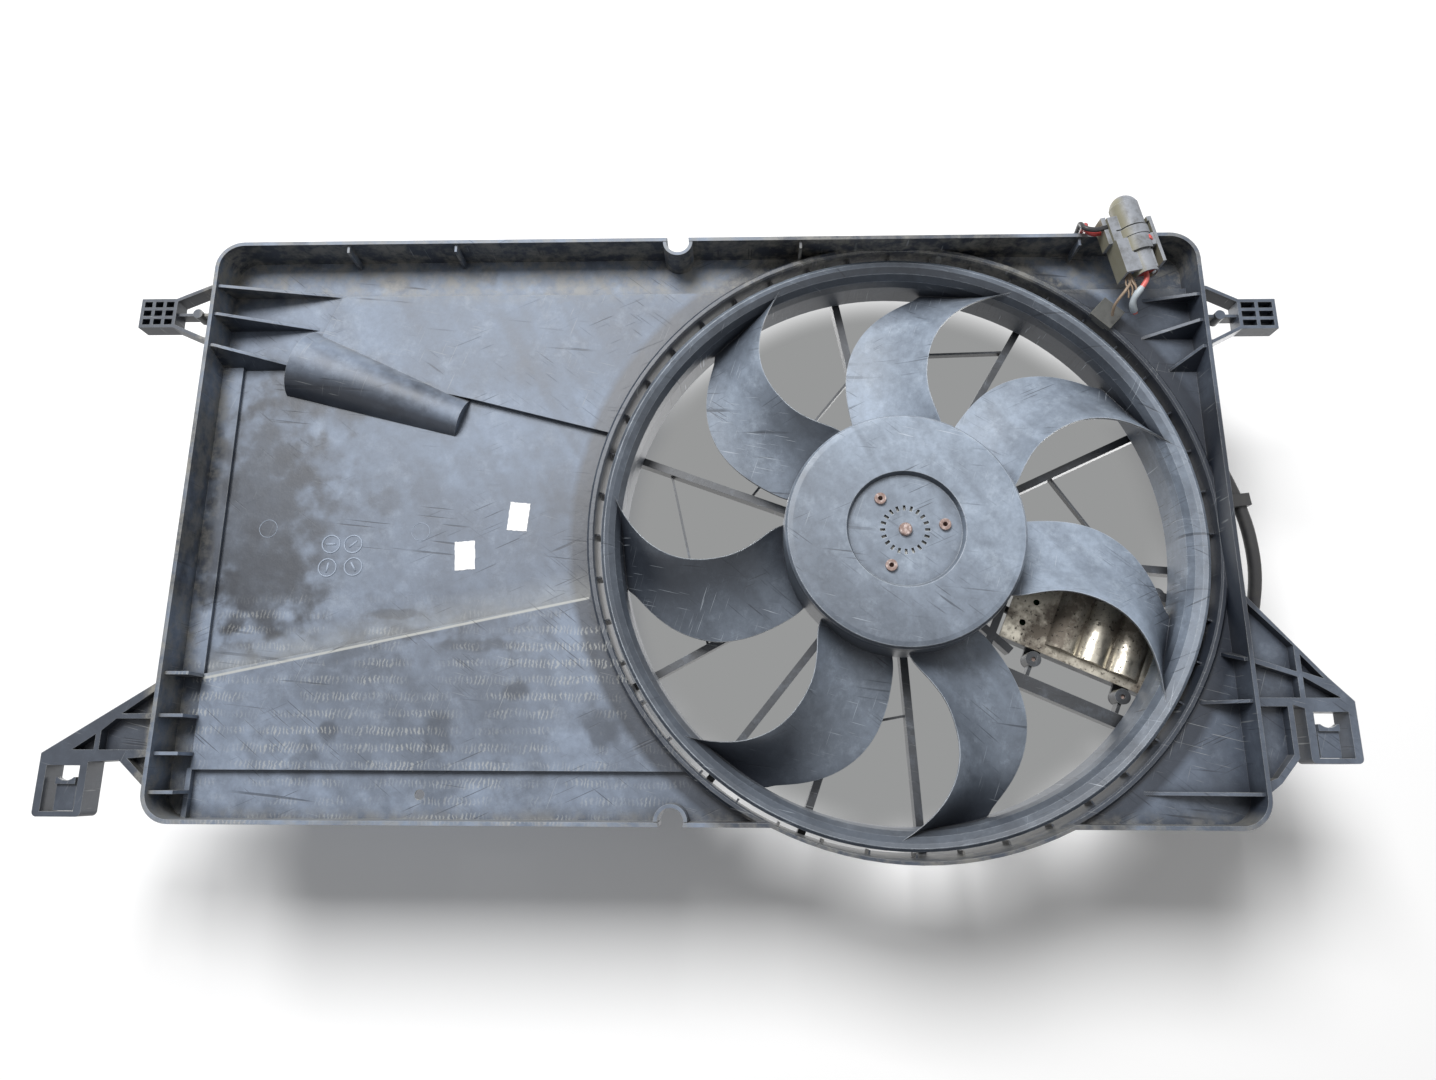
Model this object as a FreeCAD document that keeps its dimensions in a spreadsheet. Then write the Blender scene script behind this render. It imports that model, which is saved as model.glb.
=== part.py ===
import FreeCAD, Part
import math
import os
import re

import Sketcher
from FreeCAD import Placement, Rotation, Vector

# Engine cooling fan with its plastic shroud, upright as it stands in a car.
# X runs across the car, Y runs away from the radiator and Z is up.
# The origin is where the fan axis crosses the plane of the lip that seals on the radiator.

# Driving dimensions in millimetres
SIZES = [
    ("rim_left", 449, "fan axis to the outside of the left wall"),
    ("rim_margin", 2.6, "fan ring to the outside of the top and right walls"),
    ("rim_bottom", 175.5, "fan axis to the outside of the bottom wall"),
    ("rim_corner", 18, "outside radius of the four corners"),
    ("rim_wall", 2.5, "thickness of the outer walls"),
    ("floor_depth", 26, "lip to the floor of the left field"),
    ("floor_wall", 2.5, "thickness of the floor"),
    ("right_depth", 20, "lip to the floor beside the fan ring"),
    ("raised_depth", 21.5, "lip to the raised fields"),
    ("pocket_depth", 28, "lip to the floor of the lower left pockets"),
    ("tip_gap", 3.5, "gap between the fan band and the fan ring"),
    ("ring_wall", 2, "thickness of the fan ring"),
    ("ring_bead", 4.6, "width of the bead on the front of the fan ring"),
    ("ring_front", 15.5, "lip to the front of the fan ring"),
    ("ring_rear", 72, "lip to the rear edge of the fan ring"),
    ("fin_count", 44, "swirl fins round the fan ring"),
    ("fin_reach", 2.4, "how far a fin stands in from the ring"),
    ("fin_wall", 1.1, "thickness of a swirl fin"),
    ("fin_front", 23.5, "lip to the front of the fins"),
    ("fin_rear", 40, "lip to the rear of the fins"),
    ("rib_wall", 2, "thickness of the stiffening ribs"),
    ("rib_front", 2.5, "lip to the high end of a rib"),
    ("upper_field_top", 166, "fan axis up to the crease of the upper field"),
    ("upper_field_left", 370, "fan axis to the left end of the upper field"),
    ("lower_field_top", 51, "fan axis down to the middle of the lower crease"),
    ("lower_field_bottom", 145, "fan axis down to the step under the lower field"),
    ("column_right", 433, "fan axis to the right side of the left column"),
    ("scoop_big", 25, "radius of the bulge at its left end"),
    ("scoop_small", 15, "radius of the bulge at its right end"),
    ("scoop_length", 118, "length of the bulge"),
    ("scoop_left", 395, "fan axis to the left end of the bulge"),
    ("scoop_up", 119, "fan axis up to the left end of the bulge"),
    ("scoop_tilt", 19.5, "slope of the bulge in degrees"),
    ("notch_place", 142, "fan axis to the two half round notches"),
    ("notch_radius", 7.5, "radius of the half round notches"),
    ("notch_wall", 2.2, "wall round a notch"),
    ("drain_radius", 3, "radius of the hole in the floor"),
    ("drain_left", 294, "fan axis to the hole in the floor"),
    ("drain_down", 159, "fan axis down to the hole in the floor"),
    ("band_radius", 189.5, "outside radius of the fan band"),
    ("band_lip", 12.5, "how far the bell mouth of the band opens"),
    ("band_wall", 2.2, "wall of the fan band"),
    ("band_front", 21.5, "lip to the front of the fan band"),
    ("band_rear", 57, "lip to the rear of the fan band"),
    ("band_skirt", 12, "length of the outer skirt of the band"),
    ("hub_radius", 74.5, "outside radius of the fan hub"),
    ("hub_wall", 2.5, "wall of the fan hub"),
    ("hub_front", 6.5, "lip to the flat face of the hub"),
    ("hub_rear", 46, "lip to the rear rim of the hub"),
    ("hub_round", 5, "rounding between the face and the side of the hub"),
    ("recess_radius", 36.5, "radius of the sunk centre of the hub"),
    ("recess_depth", 4.5, "depth of the sunk centre of the hub"),
    ("blade_wall", 2.4, "thickness of a blade"),
    ("blade_lead", 24.5, "lip to the leading edges"),
    ("blade_trail", 48, "lip to the trailing edges"),
    ("blade_camber", 4, "how far a blade bows towards the rear"),
    ("slot_count", 20, "small slots round the centre of the hub"),
    ("slot_radius", 13.8, "middle radius of the slots in the hub"),
    ("slot_length", 3.2, "radial length of a slot in the hub"),
    ("slot_width", 1.6, "width of a slot in the hub"),
    ("plate_radius", 31, "radius of the drive plate behind the hub face"),
    ("plate_wall", 2.5, "thickness of the drive plate"),
    ("screw_circle", 24.5, "radius of the circle of hub screws"),
    ("screw_head", 3.6, "radius of a hub screw head"),
    ("screw_shank", 2, "radius of a hub screw shank"),
    ("screw_proud", 2.2, "how far a screw head stands out"),
    ("screw_socket", 1.5, "radius of the socket in a screw head"),
    ("shaft_radius", 4, "radius of the motor shaft"),
    ("shaft_front", 8.2, "lip to the front end of the shaft"),
    ("shaft_rear", 91.5, "lip to the rear end of the shaft"),
    ("journal_radius", 3, "radius of the rear journal of the shaft"),
    ("run_clearance", 0.04, "radial clearance of the shaft in a bearing"),
    ("fit_gap", 0.3, "gap between parts that move past each other"),
    ("can_radius", 50, "outside radius of the motor can"),
    ("can_wall", 2, "wall of the motor can"),
    ("can_front", 21.5, "lip to the front face of the motor can"),
    ("can_rear", 85, "lip to the open rear of the motor can"),
    ("boss_wall", 3, "wall of the bearing bosses"),
    ("front_bearing_radius", 11, "outside radius of the front bearing"),
    ("front_bearing_width", 7, "width of the front bearing"),
    ("rear_bearing_radius", 9.5, "outside radius of the rear bearing"),
    ("rear_bearing_width", 6, "width of the rear bearing"),
    ("cap_wall", 2.5, "thickness of the rear end cap"),
    ("ear_front", 58.5, "lip to the front of the motor ears"),
    ("ear_wall", 3.5, "thickness of the motor ears"),
    ("ear_reach", 8, "motor can to the circle of its bolts"),
    ("ear_radius", 6.5, "rounding of a motor ear"),
    ("bolt_radius", 2.5, "radius of a motor bolt"),
    ("bolt_head", 5, "radius of a motor bolt head"),
    ("bolt_head_height", 3.5, "height of a motor bolt head"),
    ("magnet_count", 4, "magnets in the motor can"),
    ("magnet_wall", 11, "thickness of the magnets"),
    ("magnet_front", 27, "lip to the front of the magnets"),
    ("magnet_rear", 63, "lip to the rear of the magnets"),
    ("magnet_span", 66, "angle of one magnet"),
    ("air_gap", 1, "gap between the magnets and the armature core"),
    ("core_front", 30, "lip to the front of the armature core"),
    ("core_rear", 60, "lip to the rear of the armature core"),
    ("core_slots", 12, "winding slots of the armature"),
    ("core_slot_width", 5, "width of a winding slot"),
    ("core_slot_depth", 15, "depth of a winding slot"),
    ("winding_front", 24.5, "lip to the front end turns"),
    ("winding_rear", 66, "lip to the rear end turns"),
    ("winding_inset", 4, "how far the end turns stay inside the core"),
    ("winding_bore", 14, "inside radius of the end turns"),
    ("commutator_radius", 12.5, "radius of the commutator"),
    ("commutator_front", 67, "lip to the front of the commutator"),
    ("commutator_rear", 80, "lip to the rear of the commutator"),
    ("card_front", 80.5, "lip to the brush card"),
    ("card_wall", 2, "thickness of the brush card"),
    ("card_bore", 16, "radius of the hole in the brush card"),
    ("brush_width", 6, "width of a brush along X"),
    ("brush_depth", 8, "width of a brush along Y"),
    ("brush_front", 69.5, "lip to the front of a brush"),
    ("brush_length", 14, "length of a brush"),
    ("holder_wall", 1.2, "wall of a brush holder"),
    ("spring_radius", 2.4, "outside radius of a brush spring"),
    ("spring_wire", 0.5, "radius of the brush spring wire"),
    ("spring_turns", 6, "turns of a brush spring"),
    ("holder_inset", 3, "motor can to the end of a brush holder"),
    ("carrier_gap", 1, "gap between the motor can and the carrier ring"),
    ("carrier_width", 15, "width of the carrier ring"),
    ("carrier_front", 62, "lip to the front of the carrier"),
    ("carrier_rear", 72, "lip to the rear of the carrier"),
    ("strut_wall", 5, "thickness of a strut"),
    ("thin_strut", 1.6, "thickness of a thin link"),
    ("thin_depth", 5, "depth of a thin link"),
    ("grommet_radius", 3.8, "radius of the grommet in the motor can"),
    ("lead_radius", 2.5, "radius of the motor lead"),
    ("lead_angle", -27, "angle at which the lead leaves the motor can"),
    ("lead_depth", 78.5, "lip to the motor lead"),
    ("module_inset", 68, "how far the middle of the module stands inside the fan ring"),
    ("module_down", 60, "fan axis down to the middle of the module"),
    ("module_turn", 23.5, "tilt of the module in degrees"),
    ("module_length", 102, "length of the control module"),
    ("module_width", 56, "width of the control module"),
    ("module_front", 62, "lip to the front rim of the module housing"),
    ("module_rear", 82, "lip to the back of the module housing"),
    ("module_wall", 2, "wall of the module housing"),
    ("cover_front", 55, "lip to the front of the heat cover lobes"),
    ("cover_wall", 1, "thickness of the heat cover"),
    ("lobe_radius", 12, "radius of a lobe of the heat cover"),
    ("beam_wall", 6, "width of the module beams"),
    ("boss_bore", 1.5, "radius of the screws and holes of the module"),
    ("ear_depth", 3, "thickness of the ears of the module housing"),
    ("board_wall", 1.6, "thickness of the circuit board"),
    ("board_front", 72, "lip to the circuit board"),
    ("tab_front", 4, "lip to the front of the upper tabs"),
    ("tab_rear", 16, "lip to the rear of the upper tabs"),
    ("tab_height", 20.5, "height of an upper tab"),
    ("tab_length", 24, "length of an upper tab"),
    ("tab_wall", 2.4, "walls of the upper tabs"),
    ("tab_cell", 5.5, "depth of the shallow cells in an upper tab"),
    ("left_tab_up", 146.5, "fan axis up to the middle of the left tab"),
    ("right_tab_up", 139.5, "fan axis up to the middle of the right tab"),
    ("left_tab_neck", 24, "left wall to the left tab"),
    ("right_tab_neck", 21, "right wall to the right tab"),
    ("lug_front", 4, "lip to the front of the lower lugs"),
    ("lug_rear", 20, "lip to the rear of the lower lugs"),
    ("lug_width", 29, "width of a lower lug"),
    ("lug_height", 32, "height of a lower lug"),
    ("lug_wall", 4.5, "side walls of a lower lug"),
    ("lug_rail", 3, "upper and lower wall of a lower lug"),
    ("web_wall", 2, "web of the lower arms"),
    ("web_front", 11, "lip to the web of the lower arms"),
    ("left_lug_out", 499.5, "fan axis to the middle of the left lug"),
    ("left_lug_top", 140, "fan axis down to the top of the left lug"),
    ("right_lug_reach", 41.4, "right wall to the middle of the right lug"),
    ("right_lug_top", 107, "fan axis down to the top of the right lug"),
    ("latch_wall", 2, "thickness of a latch tongue"),
    ("latch_width", 12, "width of a latch tongue"),
    ("latch_length", 19, "length of a latch tongue"),
    ("latch_front", 10, "lip to the face of a latch tongue"),
    ("connector_turn", 12, "tilt of the connector in degrees"),
    ("connector_inset", 45, "how far the connector stands inside the fan ring"),
    ("connector_drop", 12.1, "top wall down to the joint of the connector"),
    ("connector_width", 25, "width of the connector"),
    ("connector_back", 0.3, "gap between the connector and the lip"),
    ("connector_deep", 20, "depth of the connector"),
    ("barrel_radius", 9, "radius of the round barrels of the connector"),
    ("wire_radius", 1.6, "radius of a supply wire"),
    ("signal_radius", 0.9, "radius of a signal wire"),
    ("clip_wall", 1.8, "wall of a loom clip"),
    ("clip_width", 8, "width of a loom clip"),
    ("anchor_angle", 46.5, "angle of the harness anchor on the fan ring"),
    ("anchor_width", 16, "width of the harness anchor"),
    ("loom_radius", 4, "radius of the sleeved loom"),
]

# Sizes that follow from the driving ones
WORKED_OUT = {
    "ring_bore": "band_radius + tip_gap",
    "rim_right": "ring_bore + rim_margin",
    "rim_top": "ring_bore + rim_margin",
    "band_throat": "band_radius - band_lip",
    "ear_circle": "can_radius + ear_reach",
    "magnet_inner": "can_radius - can_wall - magnet_wall",
    "core_radius": "magnet_inner - air_gap",
    "winding_radius": "core_radius - winding_inset",
    "holder_end": "can_radius - can_wall - holder_inset",
    "carrier_bore": "can_radius + carrier_gap",
    "carrier_radius": "carrier_bore + carrier_width",
    "right_lug_out": "rim_right + right_lug_reach",
    "module_across": "ring_bore - module_inset",
    "connector_across": "ring_bore - connector_inset",
    "connector_up": "rim_top - connector_drop",
}

doc = FreeCAD.newDocument("RadiatorFan")
sheet = doc.addObject("Spreadsheet::Sheet", "Sizes")
for row, (alias, number, note) in enumerate(SIZES, 1):
    sheet.set("A%d" % row, note)
    sheet.set("B%d" % row, str(number))
    sheet.setAlias("B%d" % row, alias)
doc.recompute()

WORDS = {alias for alias, number, note in SIZES}
NODES = {}


def spelled(expression):
    """An expression written with driving sizes alone."""
    text = str(expression)
    while WORKED_OUT.keys() & set(re.findall(r"[a-z]\w*", text)):
        for word, meaning in WORKED_OUT.items():
            text = re.sub(r"\b%s\b" % word, "(%s)" % meaning, text)
    return text


def size(expression):
    """Value of an expression written with the words of the sheet."""
    return float(sheet.evalExpression(spelled(expression)))


def linked(expression):
    """The same expression as other objects of the document read it."""
    return re.sub(r"[a-z]\w*", lambda word: ("Sizes." if word.group() in WORDS else "") + word.group(),
                  spelled(expression))


def bind(item, **expressions):
    """Bind properties to expressions; a double underscore stands for a dot."""
    for name, expression in expressions.items():
        item.setExpression(name.replace("__", "."), linked(expression))
    return item


def place(item, x="0", y="0", z="0"):
    """Bind where an object stands."""
    return bind(item, Placement__Base__x=x, Placement__Base__y=y, Placement__Base__z=z)


def box(name, x, y, z):
    """Block between two values on each axis."""
    item = doc.addObject("Part::Box", name)
    bind(item, Length="(%s) - (%s)" % (x[1], x[0]), Width="(%s) - (%s)" % (y[1], y[0]),
         Height="(%s) - (%s)" % (z[1], z[0]))
    return place(item, x[0], y[0], z[0])


def rod(name, radius, y, x="0", z="0"):
    """Cylinder along Y."""
    item = doc.addObject("Part::Cylinder", name)
    item.Placement.Rotation = Rotation(Vector(1, 0, 0), -90)
    bind(item, Radius=radius, Height="(%s) - (%s)" % (y[1], y[0]))
    return place(item, x, y[0], z)


def spoke(name, radius, y, width, angle):
    """Block that points away from the fan axis at an angle in degrees."""
    item = doc.addObject("Part::Box", name)
    item.Placement.Rotation = Rotation(Vector(0, 1, 0), -angle)
    bind(item, Length="(%s) - (%s)" % (radius[1], radius[0]), Width="(%s) - (%s)" % (y[1], y[0]),
         Height=width)
    return place(item, "(%s) * cos(%g) + (%s) / 2 * sin(%g)" % (radius[0], angle, width, angle), y[0],
                 "(%s) * sin(%g) - (%s) / 2 * cos(%g)" % (radius[0], angle, width, angle))


def fuse(name, *items):
    """Union of objects."""
    if len(items) == 1:
        return items[0]
    item = doc.addObject("Part::MultiFuse", name)
    item.Shapes = list(items)
    return item


def group(name, *items):
    """Separate solids that share one node."""
    item = doc.addObject("Part::Compound", name)
    item.Links = list(items)
    return item


def cut(name, base, *tools):
    """One object less others."""
    item = doc.addObject("Part::Cut", name)
    item.Base = base
    item.Tool = fuse(name + "Tools", *tools)
    return item


def common(name, base, tool):
    """What two objects share."""
    item = doc.addObject("Part::Common", name)
    item.Base = base
    item.Tool = tool
    return item


def tube(name, radius, bore, y, x="0", z="0"):
    """Hollow cylinder along Y."""
    inside = rod(name + "Bore", bore, ("(%s) - 1" % y[0], "(%s) + 1" % y[1]), x, z)
    return cut(name, rod(name + "Body", radius, y, x, z), inside)


def polygon(body, role, points):
    """Sketch of straight lines whose corners are bound to the sheet."""
    sketch = body.newObject("Sketcher::SketchObject", body.Name + "Sketch")
    plane = [item for item in body.Origin.OriginFeatures if item.Role == role][0]
    sketch.AttachmentSupport = [(plane, "")]
    sketch.MapMode = "FlatFace"
    corners = [Vector(size(across), size(up), 0) for across, up in points]
    for index, corner in enumerate(corners):
        sketch.addGeometry(Part.LineSegment(corner, corners[(index + 1) % len(corners)]), False)
    for index in range(len(corners)):
        sketch.addConstraint(Sketcher.Constraint("Coincident", index, 2, (index + 1) % len(corners), 1))
    for index, (across, up) in enumerate(points):
        for kind, expression in (("DistanceX", across), ("DistanceY", up)):
            rule = sketch.addConstraint(Sketcher.Constraint(kind, -1, 1, index, 1, size(expression)))
            sketch.setExpression("Constraints[%d]" % rule, linked(expression))
    return sketch


def turned(name, points):
    """Body turned about the fan axis from corners given as radius and depth."""
    body = doc.addObject("PartDesign::Body", name)
    sketch = polygon(body, "XY_Plane", points)
    turn = body.newObject("PartDesign::Revolution", name + "Turn")
    turn.Profile = sketch
    turn.ReferenceAxis = (sketch, ["V_Axis"])
    turn.Angle = 360
    return body


def plate(name, points, y):
    """Body padded along Y from corners given as X and Z."""
    body = doc.addObject("PartDesign::Body", name)
    sketch = polygon(body, "XZ_Plane", points)
    sketch.setExpression("AttachmentOffset.Base.z", linked("-(%s)" % y[0]))
    pad = body.newObject("PartDesign::Pad", name + "Pad")
    pad.Profile = sketch
    pad.Reversed = True
    bind(pad, Length="(%s) - (%s)" % (y[1], y[0]))
    return body


def rounded(name, base, radius, chosen):
    """Round the edges of an object that a test picks out."""
    doc.recompute()
    item = doc.addObject("Part::Fillet", name)
    item.Base = base
    edges = enumerate(base.Shape.Edges, 1)
    item.Edges = [(number, size(radius), size(radius)) for number, edge in edges if chosen(edge)]
    return item


def runs_along(edge, direction):
    """Whether an edge is straight and parallel to a direction."""
    if edge.Curve.TypeId != "Part::GeomLine":
        return False
    return edge.tangentAt(edge.FirstParameter).cross(direction).Length < 1e-6


def gusset(name, wall, end, z, end_z, floor):
    """Rib that falls from a side wall of the rim to the floor."""
    item = doc.addObject("Part::Wedge", name)
    low, high = (wall, end) if size(wall) < size(end) else (end, wall)
    at_wall = ("(%s)" % wall, "(%s) + rib_wall" % wall) if low == wall else ("(%s) - rib_wall" % wall, wall)
    bind(item, Xmin=at_wall[0], Xmax=at_wall[1], X2min=low, X2max=high, Ymin="rib_front", Ymax=floor,
         Zmin=z, Zmax="(%s) + rib_wall" % z, Z2min=end_z, Z2max="(%s) + rib_wall" % end_z)
    return item


def shaped(name, shape):
    """Object whose shape no primitive gives."""
    item = doc.addObject("Part::Feature", name)
    item.Shape = shape
    return item


def node(name, item):
    """Name a finished sub-part."""
    item.Label = name
    NODES[name] = item
    return item


# Shroud: walls and stepped floor of the box over the radiator

FLOOR_BACK = "floor_depth + floor_wall"
INSIDE_LEFT = "-rim_left + rim_wall"
INSIDE_RIGHT = "rim_right - rim_wall"


def shroud_walls():
    """Walls and floor with every field at its own depth."""
    block = box("RimBlock", ("-rim_left", "rim_right"), ("0", FLOOR_BACK), ("-rim_bottom", "rim_top"))
    rim = rounded("Rim", block, "rim_corner", lambda edge: runs_along(edge, Vector(0, 1, 0)))
    field = box("FieldBlock", (INSIDE_LEFT, INSIDE_RIGHT), ("-1", "floor_depth"),
                ("-rim_bottom + rim_wall", "rim_top - rim_wall"))
    inner = rounded("Field", field, "rim_corner - rim_wall",
                    lambda edge: runs_along(edge, Vector(0, 1, 0)))
    tray = cut("Tray", rim, inner)
    fields, hollows = [], []
    for name, depth, corners in RAISED_FIELDS:
        fields.append(plate(name, corners, (depth, "floor_depth + floor_wall / 2")))
        hollows.append(hollow_behind(name + "Hollow", corners, depth))
    stepped = cut("SteppedFloor", fuse("RaisedFloor", tray, *fields), *hollows)
    return stepped


RAISED_FIELDS = [
    ("UpperField", "raised_depth", [
        ("-upper_field_left", "upper_field_top"), ("-ring_bore * 0.47", "upper_field_top"),
        ("-ring_bore * 0.85", "62"), ("-279", "92"), ("-390", "117")]),
    ("LowerField", "raised_depth", [
        ("-column_right", "-88"), ("-252", "-lower_field_top"), ("-ring_bore + 8", "-38"),
        ("-ring_bore * 0.6", "-lower_field_bottom"), ("-column_right", "-lower_field_bottom")]),
    ("LeftColumn", "raised_depth + 1.5", [
        ("-rim_left + 1", "122"), ("-column_right", "122"), ("-column_right", "-88"),
        ("-rim_left + 1", "-88")]),
    ("RightField", "right_depth", [
        ("40", "-rim_bottom + 1"), ("rim_right - 1", "-rim_bottom + 1"), ("rim_right - 1", "rim_top - 30"),
        ("60", "rim_top - 30")]),
]


def hollow_behind(name, corners, depth):
    """Space behind a raised field that keeps the floor at one thickness."""
    points = [Vector(size(x), 0, size(z)) for x, z in corners]
    face = Part.Face(Part.makePolygon(points + points[:1]))
    inset = face.makeOffset2D(-size("floor_wall"))
    start = size("(%s) + floor_wall" % depth)
    inset.translate(Vector(0, start, 0))
    return shaped(name, inset.extrude(Vector(0, size(FLOOR_BACK) + 1 - start, 0)))


def fan_ring():
    """Ring round the fan with its front bead and its swirl fins."""
    bead = turned("RingBead", [
        ("ring_bore", "ring_front + 1"), ("ring_bore + 1", "ring_front"),
        ("ring_bore + ring_bead - 1.5", "ring_front"), ("ring_bore + ring_bead", "ring_front + 1.5"),
        ("ring_bore + ring_bead", FLOOR_BACK), ("ring_bore", FLOOR_BACK)])
    inside = box("BeadLimit", ("-rim_left", "rim_right - 0.2"), ("0", FLOOR_BACK),
                 ("-rim_bottom + 0.2", "rim_top - 0.2"))
    parts = [common("BeadInRim", bead, inside)]
    parts.append(tube("RingTube", "ring_bore + ring_wall", "ring_bore", ("ring_front + 3", "ring_rear")))
    low_wall = tube("LowWallRing", "ring_bore + ring_wall", "ring_bore", ("0", "ring_front + 4"))
    low_part = box("LowWallPart", ("-rim_left", "rim_right"), ("-1", "ring_front + 5"),
                   ("-rim_top - 10", "-rim_bottom + rim_wall"))
    parts.append(common("LowWall", low_wall, low_part))
    count = int(size("fin_count"))
    for index in range(count):
        parts.append(spoke("SwirlFin%d" % index, ("ring_bore - fin_reach", "ring_bore + ring_wall / 2"),
                           ("fin_front", "fin_rear"), "fin_wall", index * 360 / count))
    return parts


def ribs():
    """Gussets that carry the four fixing points into the floor, and small wall ribs."""
    parts = []
    for index, (up, length, end_up) in enumerate(((17.6, 80, 21), (-2.4, 66, -3.5), (-24.5, 60, -32.5))):
        parts.append(gusset("UpperLeftRib%d" % index, INSIDE_LEFT, "-rim_left + %g" % length,
                            "left_tab_up + (%g)" % up, "left_tab_up + (%g)" % end_up, "floor_depth + 1"))
    for index, up in enumerate((50, 25, 3, -19)):
        height = "-left_lug_top + (%g)" % up
        parts.append(box("PocketRib%d" % index, (INSIDE_LEFT, "-column_right + 1"),
                         ("rib_front + 1", "floor_depth + 1"), (height, height + " + rib_wall")))
    parts.append(box("PocketWall", ("-column_right - rib_wall", "-column_right + 1"),
                     ("raised_depth", "floor_depth + 1"), ("-rim_bottom + 1", "-lower_field_bottom + 1")))
    upper = ((12.5, 33.6, 16.5), (-5.5, 36.6, -10.5), (-23.5, 20.6, -33.5))
    lower = ((26, 9.6, 31), (2, 26.6, 2), (-50, 66.6, -50))
    for carried, ribs_there in (("right_tab_up", upper), ("-right_lug_top", lower)):
        for up, length, end_up in ribs_there:
            parts.append(gusset("RightRib%d" % len(parts), INSIDE_RIGHT, "rim_right - %g" % length,
                                "%s + (%g)" % (carried, up), "%s + (%g)" % (carried, end_up),
                                "right_depth + 1"))
    for index, across in enumerate(("-362.3", "-290.3", "-61.9", "119.5")):
        parts.append(box("WallRib%d" % index, (across, "(%s) + 1.6" % across), ("2", "floor_depth + 1"),
                         ("rim_top - rim_wall - 5", "rim_top - rim_wall + 0.5")))
    return parts


def notch(name, z, sign):
    """Half round well that lets a fastener pass the wall."""
    wall = rod(name + "Wall", "notch_radius + notch_wall", ("0", FLOOR_BACK), "-notch_place", z)
    limits = ("(%s) - 0.2" % z, "(%s) + 20" % z) if sign > 0 else ("(%s) - 20" % z, "(%s) + 0.2" % z)
    keep = box(name + "Keep", ("-notch_place - 20", "-notch_place + 20"), ("-1", "floor_depth + 9"), limits)
    gap = rod(name + "Gap", "notch_radius", ("-1", FLOOR_BACK + " + 1"), "-notch_place", z)
    return common(name + "Half", wall, keep), gap


def scoop():
    """Half cone that bulges forward over a pipe behind the upper left field."""
    big, small, length = size("scoop_big"), size("scoop_small"), size("scoop_length")
    wall = size("floor_wall")
    along = Vector(1, 0, 0)
    outer = Part.makeCone(big, small, length, Vector(0, 0, 0), along)
    inner = Part.makeCone(big - wall, small - wall, length - 2 * wall, along * wall, along)
    base = size("floor_depth") + 7
    spot = Placement(Vector(-size("scoop_left"), base, size("scoop_up")),
                     Rotation(Vector(0, 1, 0), size("scoop_tilt")))
    outer.Placement = spot
    inner.Placement = spot
    corner = Vector(-size("scoop_left") - 2 * big, size("floor_depth") + 1 - base, size("scoop_up") - 4 * big)
    front = Part.makeBox(length + 4 * big, base, 8 * big, corner)
    return shaped("ScoopShell", outer.common(front)), shaped("ScoopHollow", inner)


def upper_tab(side, wall, reach, height, columns, rows):
    """Slotted tab that slides into the radiator side tank, on a forked neck."""
    sign = 1 if side == "Right" else -1
    near = "(%s) + %d * (%s)" % (wall, sign, reach)
    far = "(%s) + %d * tab_length" % (near, sign)
    x = (near, far) if sign > 0 else (far, near)
    block = box(side + "TabBlock", x, ("tab_front", "tab_rear"),
                ("%s - tab_height / 2" % height, "%s + tab_height / 2" % height))
    cell_x = "((tab_length - 0.9 * tab_wall) / %d)" % columns
    cell_z = "((tab_height - 0.9 * tab_wall) / %d)" % rows
    cells = []
    for column in range(columns):
        for line in range(rows):
            left = "(%s) + 0.9 * tab_wall + %d * %s" % (x[0], column, cell_x)
            low = "%s - tab_height / 2 + 0.9 * tab_wall + %d * %s" % (height, line, cell_z)
            back = "tab_rear - 1.5" if line == rows - 1 else "tab_front + tab_cell"
            cells.append(box("%sTabCell%d%d" % (side, column, line),
                             (left, "(%s) + %s - 0.9 * tab_wall" % (left, cell_x)), ("tab_front - 1", back),
                             (low, "(%s) + %s - 0.9 * tab_wall" % (low, cell_z))))
    parts = [cut(side + "Tab", block, *cells)]
    for name, up in (("Upper", 1), ("Lower", -1)):
        start = "(%s) + %d * 17.5" % (height, up)
        end = "(%s) + %d * (tab_height / 2 - tab_wall / 2)" % (height, up)
        corners = [("(%s) - %d" % (wall, sign), "(%s) + %d * tab_wall" % (start, up)),
                   ("(%s) + %d * 3" % (wall, sign), "(%s) + %d * tab_wall" % (start, up)),
                   ("(%s) + %d" % (near, sign), "(%s) + tab_wall / 2" % end),
                   ("(%s) + %d" % (near, sign), "(%s) - tab_wall / 2" % end),
                   ("(%s) + %d * 3" % (wall, sign), start),
                   ("(%s) - %d" % (wall, sign), start)]
        if up < 0:
            corners[2], corners[3] = corners[3], corners[2]
        parts.append(plate(side + name + "Fork", corners, ("tab_front", "tab_rear")))
    middle = ("(%s) - %d" % (wall, sign), "(%s) + %d" % (near, sign))
    parts.append(box(side + "TabRib", middle if sign > 0 else middle[::-1], ("tab_front + 3", "tab_rear"),
                     ("%s - 1" % height, "%s + 1" % height)))
    parts.append(rod(side + "TabBoss", "3.2", ("tab_front + 1", "tab_rear"),
                     "(%s) + %d * 10" % (wall, sign), height))
    return parts


def lower_arm(side, outline, cells):
    """Arm of the lower fixing: a web with ribs along its edges."""
    body = plate(side + "Arm", outline, ("lug_front", "lug_rear"))
    tools = []
    for index, corners in enumerate(cells):
        tools.append(plate("%sArmCell%d" % (side, index), corners, ("lug_front - 1", "web_front")))
        tools.append(plate("%sArmBack%d" % (side, index), corners,
                           ("web_front + web_wall", "lug_rear + 1")))
    return cut(side + "ArmWeb", body, *tools)


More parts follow.
